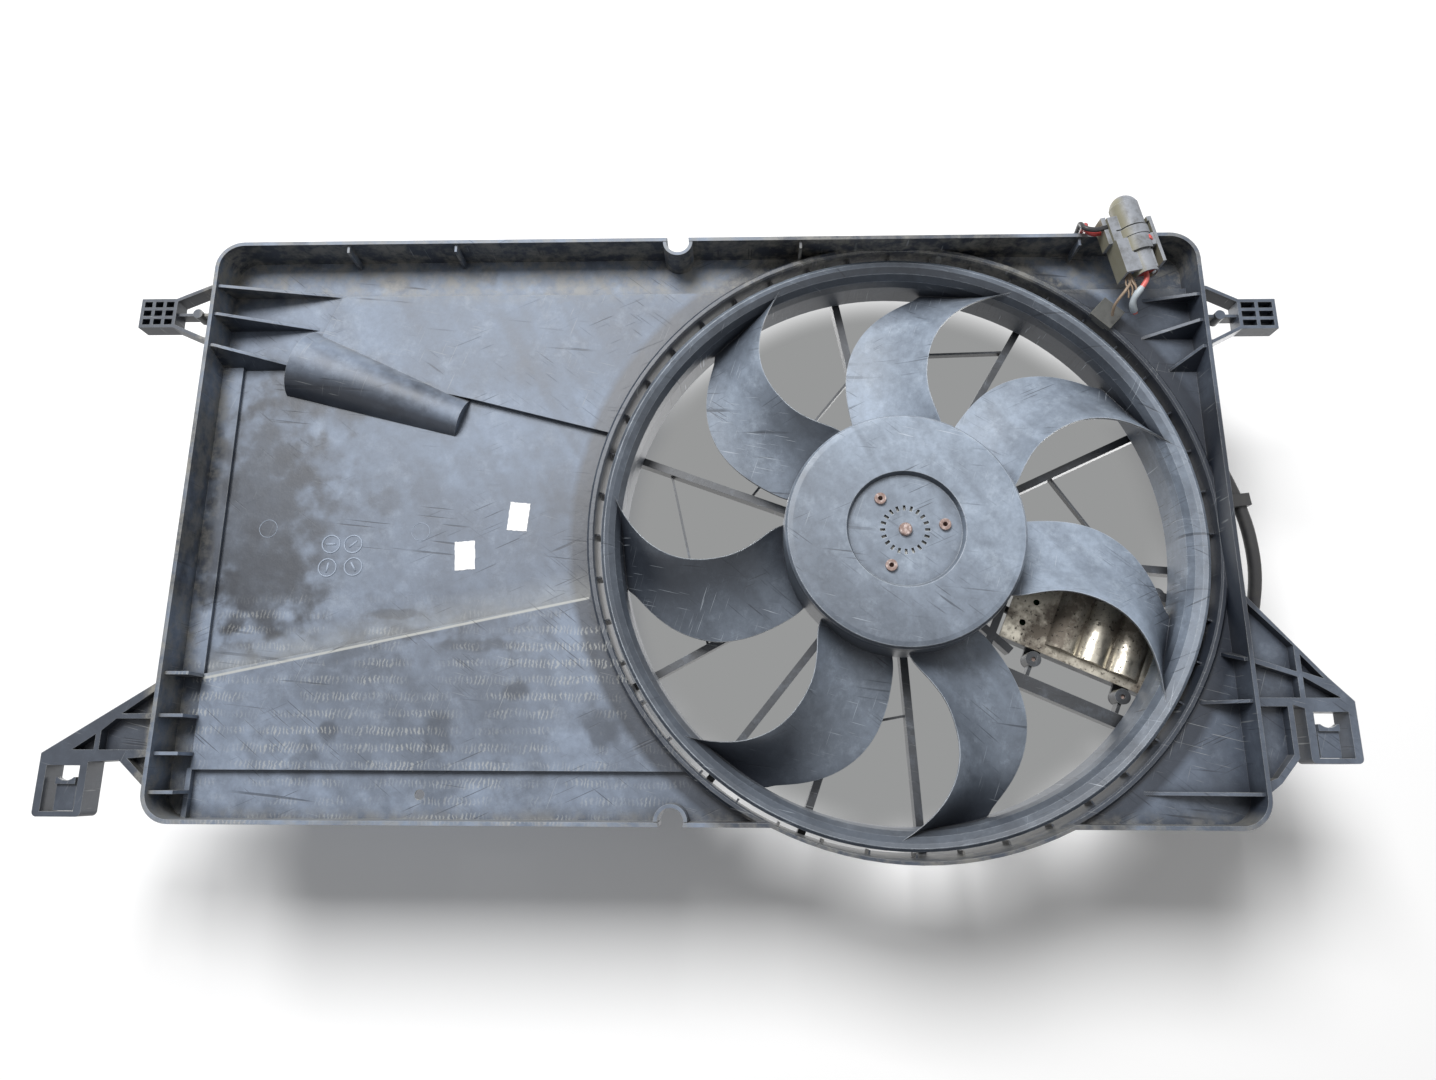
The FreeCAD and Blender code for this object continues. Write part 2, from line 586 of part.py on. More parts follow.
# Outline of each lower arm and its hollow cells, measured from the top middle of its lug
LEFT_WALL, RIGHT_WALL = "-rim_left", "rim_right"
LOWER_ARMS = [
    ("Left", "-left_lug_out", "left_lug_top",
     [(LEFT_WALL + " + 1", 47), (-14.5, 4), (-14.5, -1), (14.5, -1), (32.5, 0), (LEFT_WALL + " + 1", -17)],
     [[(LEFT_WALL + " - 1", 41), (LEFT_WALL + " - 1", 27), (30.5, 27)],
      [(LEFT_WALL + " - 1", 24), (LEFT_WALL + " - 1", 6), (19.5, 6), (19.5, 17), (27.5, 24)],
      [(16.5, 15), (16.5, 6), (3.5, 6)],
      [(LEFT_WALL + " - 1", 2), (LEFT_WALL + " - 1", -10), (37.5, 1)]]),
    ("Right", "right_lug_out", "right_lug_top",
     [(RIGHT_WALL + " - 1", 68), (1, 17), (14.5, 3), (14.5, -1), (-14.5, -1), (-21, 1), (-21, -29),
      (-33, -43), (RIGHT_WALL + " - 1", -50)],
     [[(RIGHT_WALL + " + 1", 61), (-16, 35), (-16, 20), (RIGHT_WALL + " + 1", 28)],
      [(RIGHT_WALL + " + 1", 25), (-16, 17), (-16, 5), (RIGHT_WALL + " + 1", 5)],
      [(-13, 30), (-1, 16), (-13, 20)],
      [(-13, 17), (7, 5), (-13, 5)],
      [(RIGHT_WALL + " + 1", 0), (-24, 0), (-24, -27), (-35, -40), (RIGHT_WALL + " + 1", -42)]])]


def from_lug(middle, top, points):
    """Corners measured from the top middle of a lug; a word stands for a wall of the rim."""
    corners = []
    for across, up in points:
        x = across if isinstance(across, str) else "(%s) + (%g)" % (middle, across)
        corners.append((x, "-%s + (%g)" % (top, up)))
    return corners


def lower_lug(side, middle, top):
    """Frame of the lower fixing with the window that the latch tongue closes."""
    left = "(%s) - lug_width / 2" % middle
    right = "(%s) + lug_width / 2" % middle
    bottom = "-(%s) - lug_height" % top
    frame = box(side + "LugBlock", (left, right), ("lug_front", "lug_rear"), (bottom, "-(%s)" % top))
    soft = rounded(side + "LugRound", frame, "3",
                   lambda edge: runs_along(edge, Vector(0, 1, 0)) and edge.CenterOfMass.z < -size(top) - 5)
    window = box(side + "LugWindow", ("(%s) + lug_wall" % left, "(%s) - lug_wall" % right),
                 ("lug_front - 1", "lug_rear + 1"), ("(%s) + lug_rail" % bottom, "-(%s) - lug_rail" % top))
    return [cut(side + "Lug", soft, window)]


def shroud():
    """The whole shroud moulding."""
    walls = shroud_walls()
    bore = rod("FanOpening", "ring_bore", ("-5", "ring_rear + 5"))
    top_wall, top_gap = notch("TopNotch", "rim_top - 3", -1)
    low_wall, low_gap = notch("LowNotch", "-rim_bottom + 3", 1)
    drain = rod("Drain", "drain_radius", ("0", "60"), "-drain_left", "-drain_down")
    shell, hollow = scoop()
    box_part = fuse("BoxPart", walls, top_wall, low_wall, shell, *ribs())
    opened = cut("OpenedBox", box_part, bore, top_gap, low_gap, drain, hollow)
    parts = [opened] + fan_ring()
    parts += upper_tab("Left", "-rim_left", "left_tab_neck", "left_tab_up", 3, 3)
    parts += upper_tab("Right", "rim_right", "right_tab_neck", "right_tab_up", 2, 3)
    for side, middle, top, outline, cells in LOWER_ARMS:
        parts.append(lower_arm(side, from_lug(middle, top, outline),
                               [from_lug(middle, top, cell) for cell in cells]))
    parts += lower_lug("Left", "-left_lug_out", "left_lug_top")
    parts += lower_lug("Right", "right_lug_out", "right_lug_top")
    return node("shroud", fuse("Shroud", *parts))


def latch_tongue(name, middle, top):
    """Spring tongue of a lower lug, held at its foot."""
    foot = "-(%s) - lug_height + lug_rail + fit_gap" % top
    across = ("(%s) - latch_width / 2" % middle, "(%s) + latch_width / 2" % middle)
    tongue = box(name + "Tongue", across, ("latch_front", "latch_front + latch_wall"),
                 (foot, "(%s) + latch_length" % foot))
    barb = box(name + "Barb", across, ("latch_front - 2", "latch_front + 0.5"),
               ("(%s) + latch_length - 4" % foot, "(%s) + latch_length" % foot))
    dip = rod(name + "Dip", "7", ("latch_front - 5", "latch_front + 5"), middle,
              "(%s) + latch_length + 5" % foot)
    return node(name, cut(name + "Cut", fuse(name + "Solid", tongue, barb), dip))


# Fan: hub, seven sickle blades and the band that joins their tips

PLATE_FRONT = "hub_front + recess_depth + hub_wall"

# Leading and trailing edge of a blade: share of the way from the hub to the throat of the band, where
# more than 1 counts shares of the lip beyond the throat, and angle back from the tip
LEADING_EDGE = [(-0.005, 3.5), (0.132, 9.5), (0.278, 14.3), (0.424, 15.6), (0.561, 15.2), (0.707, 13.2),
                (0.883, 8.3), (1.598, 0)]
TRAILING_EDGE = [(-0.005, 43.5), (0.161, 43.6), (0.356, 41.6), (0.58, 37.2), (0.776, 30.2), (0.893, 24),
                 (0.961, 20), (1.09, 17.4)]
BLADE_ANGLES = [63.7, 18.2, -34.6, -92.9, -137.9, 171.6, 113.4]
CHORD_STEPS = 6
# Share of the chord over which a tip runs up the bell mouth of the band
BELL_SHARE = 0.35


def blade_point(row, step, offset):
    """Point of a blade surface, offset along the fan axis by half the thickness."""
    lead_reach, lead_angle = LEADING_EDGE[row]
    trail_reach, trail_angle = TRAILING_EDGE[row]
    share = step / CHORD_STEPS
    reach = lead_reach + (trail_reach - lead_reach) * share ** 0.5
    if row == len(LEADING_EDGE) - 1:
        reach = trail_reach + (lead_reach - trail_reach) * max(0, 1 - share / BELL_SHARE) ** 2
    radius = size("hub_radius") + min(reach, 1) * size("band_throat - hub_radius")
    radius += max(reach - 1, 0) * size("band_lip")
    angle = math.radians(lead_angle + (trail_angle - lead_angle) * share)
    bow = size("blade_camber") * math.sin(math.pi * share)
    lead, trail = size("blade_lead"), size("blade_trail")
    depth = lead + (trail - lead) * share + bow + offset
    return Vector(radius * math.cos(angle), depth, radius * math.sin(angle))


def blade_solid():
    """One blade with its tip at angle zero."""
    skins = []
    for offset in (-size("blade_wall") / 2, size("blade_wall") / 2):
        rows = [[blade_point(row, step, offset) for step in range(CHORD_STEPS + 1)]
                for row in range(len(LEADING_EDGE))]
        surface = Part.BSplineSurface()
        surface.interpolate(rows)
        skins.append((surface.toShape(), surface))
    first, second = skins[0][1], skins[1][1]
    borders = []
    for pick in (lambda s: s.uIso(s.bounds()[0]), lambda s: s.uIso(s.bounds()[1]),
                 lambda s: s.vIso(s.bounds()[2]), lambda s: s.vIso(s.bounds()[3])):
        borders.append(Part.makeRuledSurface(pick(first).toShape(), pick(second).toShape()))
    shell = Part.Shell([skins[0][0], skins[1][0]] + borders)
    shell.sewShape()
    solid = Part.Solid(shell)
    if solid.Volume < 0:
        solid.reverse()
    return solid


def fan_band():
    """Band with a bell mouth at its front."""
    return turned("Band", [
        ("band_radius", "band_front + 1"), ("band_radius", "band_front + band_skirt"),
        ("band_radius - band_wall", "band_front + band_skirt"),
        ("band_radius - band_wall", "band_front + band_wall + 1"), ("band_throat + 7.5", "band_front + 5"),
        ("band_throat + 4", "band_front + 9"), ("band_throat + band_wall", "band_front + 15"),
        ("band_throat + band_wall", "band_rear"), ("band_throat", "band_rear"),
        ("band_throat", "band_front + 15"), ("band_throat + 1.2", "band_front + 8.5"),
        ("band_throat + 4.2", "band_front + 3.5"), ("band_throat + 8", "band_front + 0.8"),
        ("band_radius - 2", "band_front")])


def fan_hub():
    """Cup shaped hub with its sunk centre, slots and screw holes."""
    cup = turned("HubCup", [
        ("0", "hub_front + recess_depth"), ("recess_radius - 1.5", "hub_front + recess_depth"),
        ("recess_radius", "hub_front"), ("hub_radius - hub_round", "hub_front"),
        ("hub_radius - hub_round * 0.4", "hub_front + hub_round * 0.12"),
        ("hub_radius - hub_round * 0.1", "hub_front + hub_round * 0.5"),
        ("hub_radius", "hub_front + hub_round * 1.2"), ("hub_radius", "hub_rear"),
        ("hub_radius - hub_wall", "hub_rear"), ("hub_radius - hub_wall", "hub_front + hub_wall + hub_round"),
        ("hub_radius - hub_round - hub_wall", "hub_front + hub_wall"),
        ("recess_radius + hub_wall", "hub_front + hub_wall"),
        ("recess_radius + hub_wall - 1.5", "hub_front + recess_depth + hub_wall"),
        ("0", "hub_front + recess_depth + hub_wall")])
    count = int(size("slot_count"))
    tools = [rod("ShaftHole", "shaft_radius", ("0", "30"))]
    for index in range(count):
        span = ("slot_radius - slot_length / 2", "slot_radius + slot_length / 2")
        tools.append(spoke("HubSlot%d" % index, span, ("0", PLATE_FRONT + " + 1"), "slot_width",
                           index * 360 / count))
    for index, angle in enumerate(SCREW_ANGLES):
        tools.append(rod("ScrewHole%d" % index, "screw_shank", ("0", "30"),
                         "screw_circle * cos(%g)" % angle, "screw_circle * sin(%g)" % angle))
    return cut("Hub", cup, *tools)


SCREW_ANGLES = (127, 7, 247)


def impeller():
    """Hub, blades and band are one moulding."""
    parts = [fan_band(), fan_hub()]
    shape = blade_solid()
    for index, angle in enumerate(BLADE_ANGLES):
        turned_shape = shape.copy()
        turned_shape.rotate(Vector(0, 0, 0), Vector(0, 1, 0), -angle)
        parts.append(shaped("Blade%d" % index, turned_shape))
    moulding = fuse("Impeller", *parts)
    moulding.Refine = False
    return node("fan_impeller", moulding)


def hub_fastening():
    """Steel drive plate behind the hub and the three screws through it."""
    disc = rod("DriveDisc", "plate_radius", (PLATE_FRONT, PLATE_FRONT + " + plate_wall"))
    holes = [rod("DriveBore", "shaft_radius", ("0", "30"))]
    screws = []
    for index, angle in enumerate(SCREW_ANGLES):
        x, z = "screw_circle * cos(%g)" % angle, "screw_circle * sin(%g)" % angle
        holes.append(rod("DriveHole%d" % index, "screw_shank", ("0", "30"), x, z))
        face = "hub_front + recess_depth"
        head = rod("HubScrewHead%d" % index, "screw_head", (face + " - screw_proud", face), x, z)
        shank = rod("HubScrewShank%d" % index, "screw_shank",
                    (face + " - screw_proud", PLATE_FRONT + " + plate_wall"), x, z)
        socket = rod("HubScrewSocket%d" % index, "screw_socket",
                     (face + " - screw_proud - 1", face + " + 2"), x, z)
        screws.append(cut("HubScrew%d" % index, fuse("HubScrewBody%d" % index, head, shank), socket))
    node("drive_plate", cut("DrivePlate", disc, *holes))
    node("hub_screws", group("HubScrews", *screws))


# Motor: can, magnets, armature, brush gear and bearings


def motor():
    """Every piece of the motor."""
    shaft = turned("Shaft", [
        ("0", "shaft_front"), ("shaft_radius - 0.6", "shaft_front"), ("shaft_radius", "shaft_front + 0.6"),
        ("shaft_radius", "commutator_rear + 1"), ("journal_radius", "commutator_rear + 1"),
        ("journal_radius", "shaft_rear"), ("0", "shaft_rear")])
    node("motor_shaft", shaft)
    front_end = "can_front - boss_wall"
    bearing_back = front_end + " + front_bearing_width"
    can = turned("Can", [
        ("shaft_radius + 1.5", front_end + " - 1.5"),
        ("front_bearing_radius + boss_wall", front_end + " - 1.5"),
        ("front_bearing_radius + boss_wall", "can_front"), ("can_radius - 3", "can_front"),
        ("can_radius", "can_front + 3"), ("can_radius", "can_rear"), ("can_radius - can_wall", "can_rear"),
        ("can_radius - can_wall", "can_front + can_wall + 2"),
        ("can_radius - can_wall - 2", "can_front + can_wall"),
        ("front_bearing_radius + can_wall", "can_front + can_wall"),
        ("front_bearing_radius + can_wall", bearing_back), ("front_bearing_radius", bearing_back),
        ("front_bearing_radius", front_end), ("shaft_radius + 1.5", front_end)])
    ears = []
    for index, angle in enumerate(EAR_ANGLES):
        x, z = "ear_circle * cos(%g)" % angle, "ear_circle * sin(%g)" % angle
        depth = ("ear_front", "ear_front + ear_wall")
        lobe = rod("EarLobe%d" % index, "ear_radius", depth, x, z)
        bridge = spoke("EarBridge%d" % index, ("can_radius - can_wall / 2", "ear_circle"), depth,
                       "2 * ear_radius", angle)
        hole = rod("EarHole%d" % index, "bolt_radius", ("ear_front - 1", "ear_front + ear_wall + 1"), x, z)
        ears.append(cut("Ear%d" % index, fuse("EarBody%d" % index, lobe, bridge), hole))
    gland = stub("GrommetHole", "grommet_radius", ("can_radius - 10", "can_radius + 10"))
    node("motor_can", cut("MotorCan", fuse("CanWithEars", can, *ears), gland))
    outer = stub("GrommetOuter", "grommet_radius + 1.5", ("can_radius + 0.1", "can_radius + 4"))
    neck = stub("GrommetNeck", "grommet_radius", ("can_radius - can_wall", "can_radius + 4"))
    leads = stub("GrommetBore", "lead_radius", ("can_radius - 12", "can_radius + 12"))
    node("motor_grommet", cut("Grommet", fuse("GrommetBody", outer, neck), leads))
    node("motor_lead", stub("MotorLead", "lead_radius", ("can_radius - can_wall", LEAD_END)))
    node("front_bearing", tube("FrontBearing", "front_bearing_radius", "shaft_radius + run_clearance",
                               (front_end, bearing_back)))
    end_cap = turned("EndCap", [
        ("rear_bearing_radius", "can_rear"), ("can_radius", "can_rear"),
        ("can_radius", "can_rear + cap_wall"),
        ("rear_bearing_radius + boss_wall", "can_rear + cap_wall"),
        ("rear_bearing_radius + boss_wall", "can_rear + rear_bearing_width + boss_wall"),
        ("0", "can_rear + rear_bearing_width + boss_wall"), ("0", "can_rear + rear_bearing_width + 1"),
        ("rear_bearing_radius", "can_rear + rear_bearing_width + 1")])
    node("motor_end_cap", end_cap)
    node("rear_bearing", tube("RearBearing", "rear_bearing_radius", "journal_radius + run_clearance",
                              ("can_rear", "can_rear + rear_bearing_width")))
    magnets = []
    count = int(size("magnet_count"))
    for index in range(count):
        ring = tube("MagnetRing%d" % index, "can_radius - can_wall", "magnet_inner",
                    ("magnet_front", "magnet_rear"))
        wedge = sector("MagnetSector%d" % index, (index + 0.5) * 360 / count, size("magnet_span"))
        magnets.append(common("Magnet%d" % index, ring, wedge))
    node("motor_magnets", group("Magnets", *magnets))
    armature()
    brush_gear()


EAR_ANGLES = (90, 210, 330)
# The lead ends at the inner side of the control module
LEAD_END = ("(module_across * cos(module_turn) + module_down * sin(module_turn) - module_length / 2)"
            " / cos(lead_angle + module_turn) - 2 * fit_gap")


def stub(name, radius, reach):
    """Cylinder that points away from the fan axis where the leads leave the motor can."""
    item = doc.addObject("Part::Cylinder", name)
    item.Placement.Rotation = LEAD_TURN
    bind(item, Radius=radius, Height="(%s) - (%s)" % (reach[1], reach[0]))
    return place(item, "(%s) * cos(lead_angle)" % reach[0], "lead_depth", "(%s) * sin(lead_angle)" % reach[0])


LEAD_TURN = Rotation(Vector(0, 0, 1), Vector(math.cos(math.radians(size("lead_angle"))), 0,
                                             math.sin(math.radians(size("lead_angle")))))


def sector(name, middle, span):
    """Wedge about the fan axis that cuts one magnet out of a ring."""
    reach = 3 * size("can_radius")
    corners = [Vector(0, 0, 0)]
    for share in (-0.5, 0, 0.5):
        angle = math.radians(middle + share * span)
        corners.append(Vector(reach * math.cos(angle), 0, reach * math.sin(angle)))
    face = Part.Face(Part.makePolygon(corners + corners[:1]))
    return shaped(name, face.extrude(Vector(0, size("can_rear"), 0)))


def armature():
    """Laminated core, end turns of the windings and the commutator."""
    drum = tube("CoreDrum", "core_radius", "shaft_radius", ("core_front", "core_rear"))
    count = int(size("core_slots"))
    slots, bars, bar_slots = [], [], []
    for index in range(count):
        span = ("core_radius - core_slot_depth", "core_radius + 1")
        slots.append(spoke("CoreSlot%d" % index, span, ("core_front - 1", "core_rear + 1"),
                           "core_slot_width", index * 360 / count))
        bars.append(spoke("CoilBar%d" % index, ("core_radius - core_slot_depth + 0.1", "winding_radius"),
                          ("core_front - 1", "core_rear + 1"), "core_slot_width - 0.2", index * 360 / count))
    node("armature_core", cut("ArmatureCore", drum, *slots))
    front = tube("FrontTurns", "winding_radius", "winding_bore", ("winding_front", "core_front - 0.1"))
    rear = tube("RearTurns", "winding_radius", "winding_bore", ("core_rear + 0.1", "winding_rear"))
    node("armature_windings", fuse("Windings", front, rear, *bars))
    node("commutator", tube("Commutator", "commutator_radius", "shaft_radius",
                            ("commutator_front", "commutator_rear")))


def coil_spring(name, start, end):
    """Round wire spring along Z between two heights."""
    length = end - start
    radius = size("spring_radius - spring_wire")
    helix = Part.makeHelix(length / size("spring_turns"), length, radius)
    section = Part.Wire(Part.makeCircle(size("spring_wire"), Vector(radius, 0, 0), Vector(0, 1, 0.05)))
    pipe = Part.Wire(helix).makePipeShell([section], True, True)
    item = shaped(name, pipe)
    item.Placement = Placement(Vector(0, size("brush_front + brush_depth / 2"), start), Rotation())
    return item


def brush_gear():
    """Brush card with two holders, the brushes and their springs."""
    disc = tube("CardDisc", "can_radius - can_wall", "card_bore", ("card_front", "card_front + card_wall"))
    holders = []
    for name, sign in (("upper", 1), ("lower", -1)):
        foot = "commutator_radius + fit_gap"
        inner, outer = "(%s) + 2.5" % foot, "holder_end"
        z = (inner, outer) if sign > 0 else ("-(%s)" % outer, "-(%s)" % inner)
        side = "brush_width / 2 + holder_wall + 0.1"
        case = box(name + "Case", ("-(%s)" % side, side), ("brush_front - holder_wall - 0.1", "card_front"),
                   z)
        end = "(%s) - 2" % outer
        channel_z = ("0", end) if sign > 0 else ("-(%s)" % end, "0")
        channel = box(name + "Channel", ("-brush_width / 2 - 0.1", "brush_width / 2 + 0.1"),
                      ("brush_front - 0.1", "brush_front + brush_depth + 0.1"), channel_z)
        holders.append(cut(name + "Holder", case, channel))
        brush_z = (foot, foot + " + brush_length")
        brush = box(name + "Brush", ("-brush_width / 2", "brush_width / 2"),
                    ("brush_front", "brush_front + brush_depth"),
                    brush_z if sign > 0 else ("-(%s)" % brush_z[1], "-(%s)" % brush_z[0]))
        node(name + "_brush", brush)
        low, high = size(foot + " + brush_length + spring_wire"), size(end + " - spring_wire")
        spring = coil_spring(name + "Spring", low if sign > 0 else -high, high if sign > 0 else -low)
        node(name + "_brush_spring", spring)
    node("brush_card", fuse("BrushCard", disc, *holders))


# Carrier behind the fan: ring, struts and the frame of the control module

STRUTS = (25, 59, 100.7, 160, 208.5, 231, 250.5, 273)
# Each thin link runs from a radius on one strut to a radius on the next
THIN_LINKS = ((160, 158.8, 208.5, 140), (100.7, 126.4, 160, 102), (59, 166, 100.7, 141.5),
              (25, 118, -5, 150), (250.5, 126, 273, 110))


def carrier():
    """Spider that holds the motor in the middle of the fan ring."""
    depth = ("carrier_front", "carrier_rear")
    ring = tube("CarrierRing", "carrier_radius", "carrier_bore", depth)
    parts = [ring]
    for index, angle in enumerate(STRUTS):
        parts.append(spoke("Strut%d" % index, ("carrier_radius - 1", "ring_bore"), depth, "strut_wall",
                           angle))
    for index, (first, first_radius, last, last_radius) in enumerate(THIN_LINKS):
        parts.append(link("ThinLink%d" % index, on_strut(first, first_radius), on_strut(last, last_radius)))
    parts += module_frame()
    holes = []
    for index, angle in enumerate(EAR_ANGLES):
        holes.append(rod("CarrierHole%d" % index, "bolt_radius", ("carrier_front - 1", "carrier_rear + 1"),
                         "ear_circle * cos(%g)" % angle, "ear_circle * sin(%g)" % angle))
    inside = rod("CarrierLimit", "ring_bore", ("carrier_front - 1", "carrier_rear + 1"))
    clear = rod("CarrierBoreCut", "carrier_bore", ("carrier_front - 1", "carrier_rear + 1"))
    body = common("CarrierInRing", fuse("CarrierBody", *parts), inside)
    node("motor_carrier", cut("Carrier", body, clear, *holes))


def on_strut(angle, radius):
    """Point on the middle line of a strut."""
    return Vector(radius * math.cos(math.radians(angle)), 0, radius * math.sin(math.radians(angle)))


def link(name, start, end):
    """Thin stiffening link between two struts."""
    run = end - start
    item = doc.addObject("Part::Box", name)
    bind(item, Height="thin_strut", Width="thin_depth")
    item.Length = run.Length
    turn = math.degrees(math.atan2(run.z, run.x))
    item.Placement = Placement(start + Vector(0, size("carrier_front + 4"), 0),
                               Rotation(Vector(0, 1, 0), -turn))
    return item


def module_block(name, along, y, across):
    """Block in the frame of the control module: along it, in depth and across it."""
    item = doc.addObject("Part::Box", name)
    item.Placement.Rotation = Rotation(Vector(0, 1, 0), size("module_turn"))
    bind(item, Length="(%s) - (%s)" % (along[1], along[0]), Width="(%s) - (%s)" % (y[1], y[0]),
         Height="(%s) - (%s)" % (across[1], across[0]))
    return module_place(item, along[0], y[0], across[0])


def module_place(item, along, y, across):
    """Bind a place given in the frame of the control module."""
    x = "module_across + (%s) * cos(module_turn) + (%s) * sin(module_turn)" % (along, across)
    z = "-module_down - (%s) * sin(module_turn) + (%s) * cos(module_turn)" % (along, across)
    return place(item, x, y, z)


def module_rod(name, radius, y, along, across):
    """Cylinder along Y at a place of the control module."""
    item = rod(name, radius, y)
    return module_place(item, along, y[0], across)


LOWER_EDGE = "-module_width * 0.357"
UPPER_EDGE = "module_width * 0.643"
# Screws of the module: place along it, place across it and the edge that each ear stands on
MODULE_CORNERS = [(along, edge + " " + beyond, edge)
                  for edge, beyond in ((LOWER_EDGE, "- 7.5"), (UPPER_EDGE, "+ 7.5"))
                  for along in ("-module_length * 0.289", "module_length * 0.294")]


def module_frame():
    """Two beams and the corner bosses that the control module hangs between."""
    depth = ("carrier_front", "carrier_rear")
    inner_end = "-module_length / 2 - 11"
    lower, upper = LOWER_EDGE + " - 22", UPPER_EDGE + " + 8"
    parts = [module_block("LowerBeam", (inner_end, "70"), depth,
                          (lower + " - beam_wall / 2 - 3", lower + " + beam_wall / 2")),
             module_block("UpperBeam", (inner_end, "70"), depth,
                          (upper + " - beam_wall / 2", upper + " + beam_wall / 2")),
             module_block("InnerBridge", (inner_end, inner_end + " + 5"), depth,
                          (lower + " - 3", upper + " + 2"))]
    parts.append(spoke("ModuleStrutLow", ("carrier_radius - 1", "100"), depth, "strut_wall", -43))
    parts.append(spoke("ModuleStrutHigh", ("carrier_radius - 1", "ring_bore"), depth, "strut_wall", -5))
    holes = []
    for index, (along, across, edge) in enumerate(MODULE_CORNERS):
        reach = (lower + " + 2", across + " + 2.5")
        if edge == UPPER_EDGE:
            reach = (across + " - 4.5", upper + " + 1")
        parts.append(module_block("BossWeb%d" % index, (along + " - 1.2", along + " + 1.2"),
                                  ("carrier_front + 2", "carrier_rear"), reach))
        parts.append(module_rod("BossBody%d" % index, "5", ("carrier_front", "carrier_rear"), along, across))
        holes.append(module_rod("BossHole%d" % index, "boss_bore", ("carrier_front - 1", "carrier_rear + 1"),
                                along, across))
    clear = module_block("ModuleClear", ("-module_length / 2 - 0.2", "module_length / 2 + 0.2"),
                         ("carrier_front - 2", "carrier_rear + 9"),
                         (LOWER_EDGE + " - 0.2", UPPER_EDGE + " + 0.2"))
    return [cut("ModuleFrame", fuse("ModuleFrameBody", *parts), clear, *holes)]


def control_module():
    """Housing, board, transistors, capacitor, seal, heat cover and screws of the speed control."""
    half = "module_length / 2"
    case = module_block("ModuleCase", ("-" + half, half), ("module_front", "module_rear"),
                        (LOWER_EDGE, UPPER_EDGE))
    room = module_block("ModuleRoom", ("-%s + module_wall" % half, half + " - module_wall"),
                        ("module_front - 1", "module_rear - module_wall"),
                        (LOWER_EDGE + " + module_wall", UPPER_EDGE + " - module_wall"))
    ledge = []
    for index, along in enumerate(("-%s + 2" % half, half + " - 8")):
        for line, across in enumerate((LOWER_EDGE + " + 2", UPPER_EDGE + " - 8")):
            ledge.append(module_block("BoardPost%d%d" % (index, line), (along, along + " + 6"),
                                      ("board_front + board_wall", "module_rear - 1"),
                                      (across, across + " + 6")))
    ears, ear_holes = [], []
    behind = ("carrier_rear", "carrier_rear + ear_depth")
    for index, (along, across, edge) in enumerate(MODULE_CORNERS):
        reach = (across, edge + " + 0.5") if edge == LOWER_EDGE else (edge + " - 0.5", across)
        ears.append(module_block("ModuleEar%d" % index, (along + " - 5", along + " + 5"), behind, reach))
        ears.append(module_rod("ModuleEarEnd%d" % index, "5", behind, along, across))
        ear_holes.append(module_rod("ModuleEarHole%d" % index, "boss_bore",
                                    ("carrier_rear - 1", "carrier_rear + ear_depth + 1"), along, across))
    shell = cut("ModuleShell", case, room)
    eared = cut("EaredHousing", fuse("ModuleBody", shell, *ears), *ear_holes)
    node("module_housing", fuse("ModuleHousing", eared, *ledge))
    board = module_block("Board", ("-%s + module_wall + 0.3" % half, half + " - module_wall - 0.3"),
                         ("board_front", "board_front + board_wall"),
                         (LOWER_EDGE + " + module_wall + 0.3", UPPER_EDGE + " - module_wall - 0.3"))
    node("circuit_board", board)
    chips = [module_block("Transistor%d" % index, (str(-30 + 22 * index), str(-20 + 22 * index)),
                          ("board_front - 4.6", "board_front"), ("-10", "5")) for index in range(3)]
    node("power_transistors", group("Transistors", *chips))
    node("filter_capacitor", module_rod("Capacitor", "7", ("board_front - 8", "board_front"), "34", "16"))
    sheet_top = ("module_front - cover_wall", "module_front")
    flange = module_block("CoverFlange", ("-%s - 4" % half, half), sheet_top,
                          (LOWER_EDGE + " - 2", UPPER_EDGE + " + 0.5"))
    lobes, rooms = [], []
    for index, along in enumerate(("-16", "4", "25")):
        lobes.append(lobe("CoverLobe%d" % index, along, "lobe_radius", "0"))
        rooms.append(lobe("CoverRoom%d" % index, along, "lobe_radius - cover_wall", "cover_wall"))
    front = module_block("CoverLimit", ("-module_length", "module_length"),
                         ("cover_front - 9", "module_front - cover_wall / 2"),
                         ("-module_width", "module_width"))
    raised = common("CoverLobes", fuse("LobeBodies", *lobes), front)
    holes = [module_rod("CoverHole%d" % index, "2", ("50", "64"), along, across)
             for index, (along, across) in enumerate((("-40", "8"), ("-44", "-8")))]
    node("heat_cover", cut("HeatCover", fuse("CoverBody", flange, raised), *(rooms + holes)))
    screws = []
    for index, (along, across, edge) in enumerate(MODULE_CORNERS):
        seat = "carrier_rear + ear_depth"
        head = module_rod("ModuleScrewHead%d" % index, "3.2", (seat, seat + " + 2"), along, across)
        shank = module_rod("ModuleScrewShank%d" % index, "boss_bore", ("carrier_front + 2", seat + " + 2"),
                           along, across)
        socket = module_rod("ModuleScrewSocket%d" % index, "1", (seat + " + 0.8", seat + " + 3"), along,
                            across)
        screws.append(cut("ModuleScrew%d" % index, fuse("ModuleScrewBody%d" % index, head, shank), socket))
    node("module_screws", group("ModuleScrews", *screws))


def lobe(name, along, radius, inset):
    """Rounded lobe that runs across the heat cover."""
    item = doc.addObject("Part::Cylinder", name)
    bind(item, Radius=radius, Height="40 - 2 * (%s)" % inset)
    item.Placement.Rotation = Rotation(Vector(0, 1, 0), size("module_turn"))
    return module_place(item, along, "cover_front + lobe_radius", "-16 + (%s)" % inset)


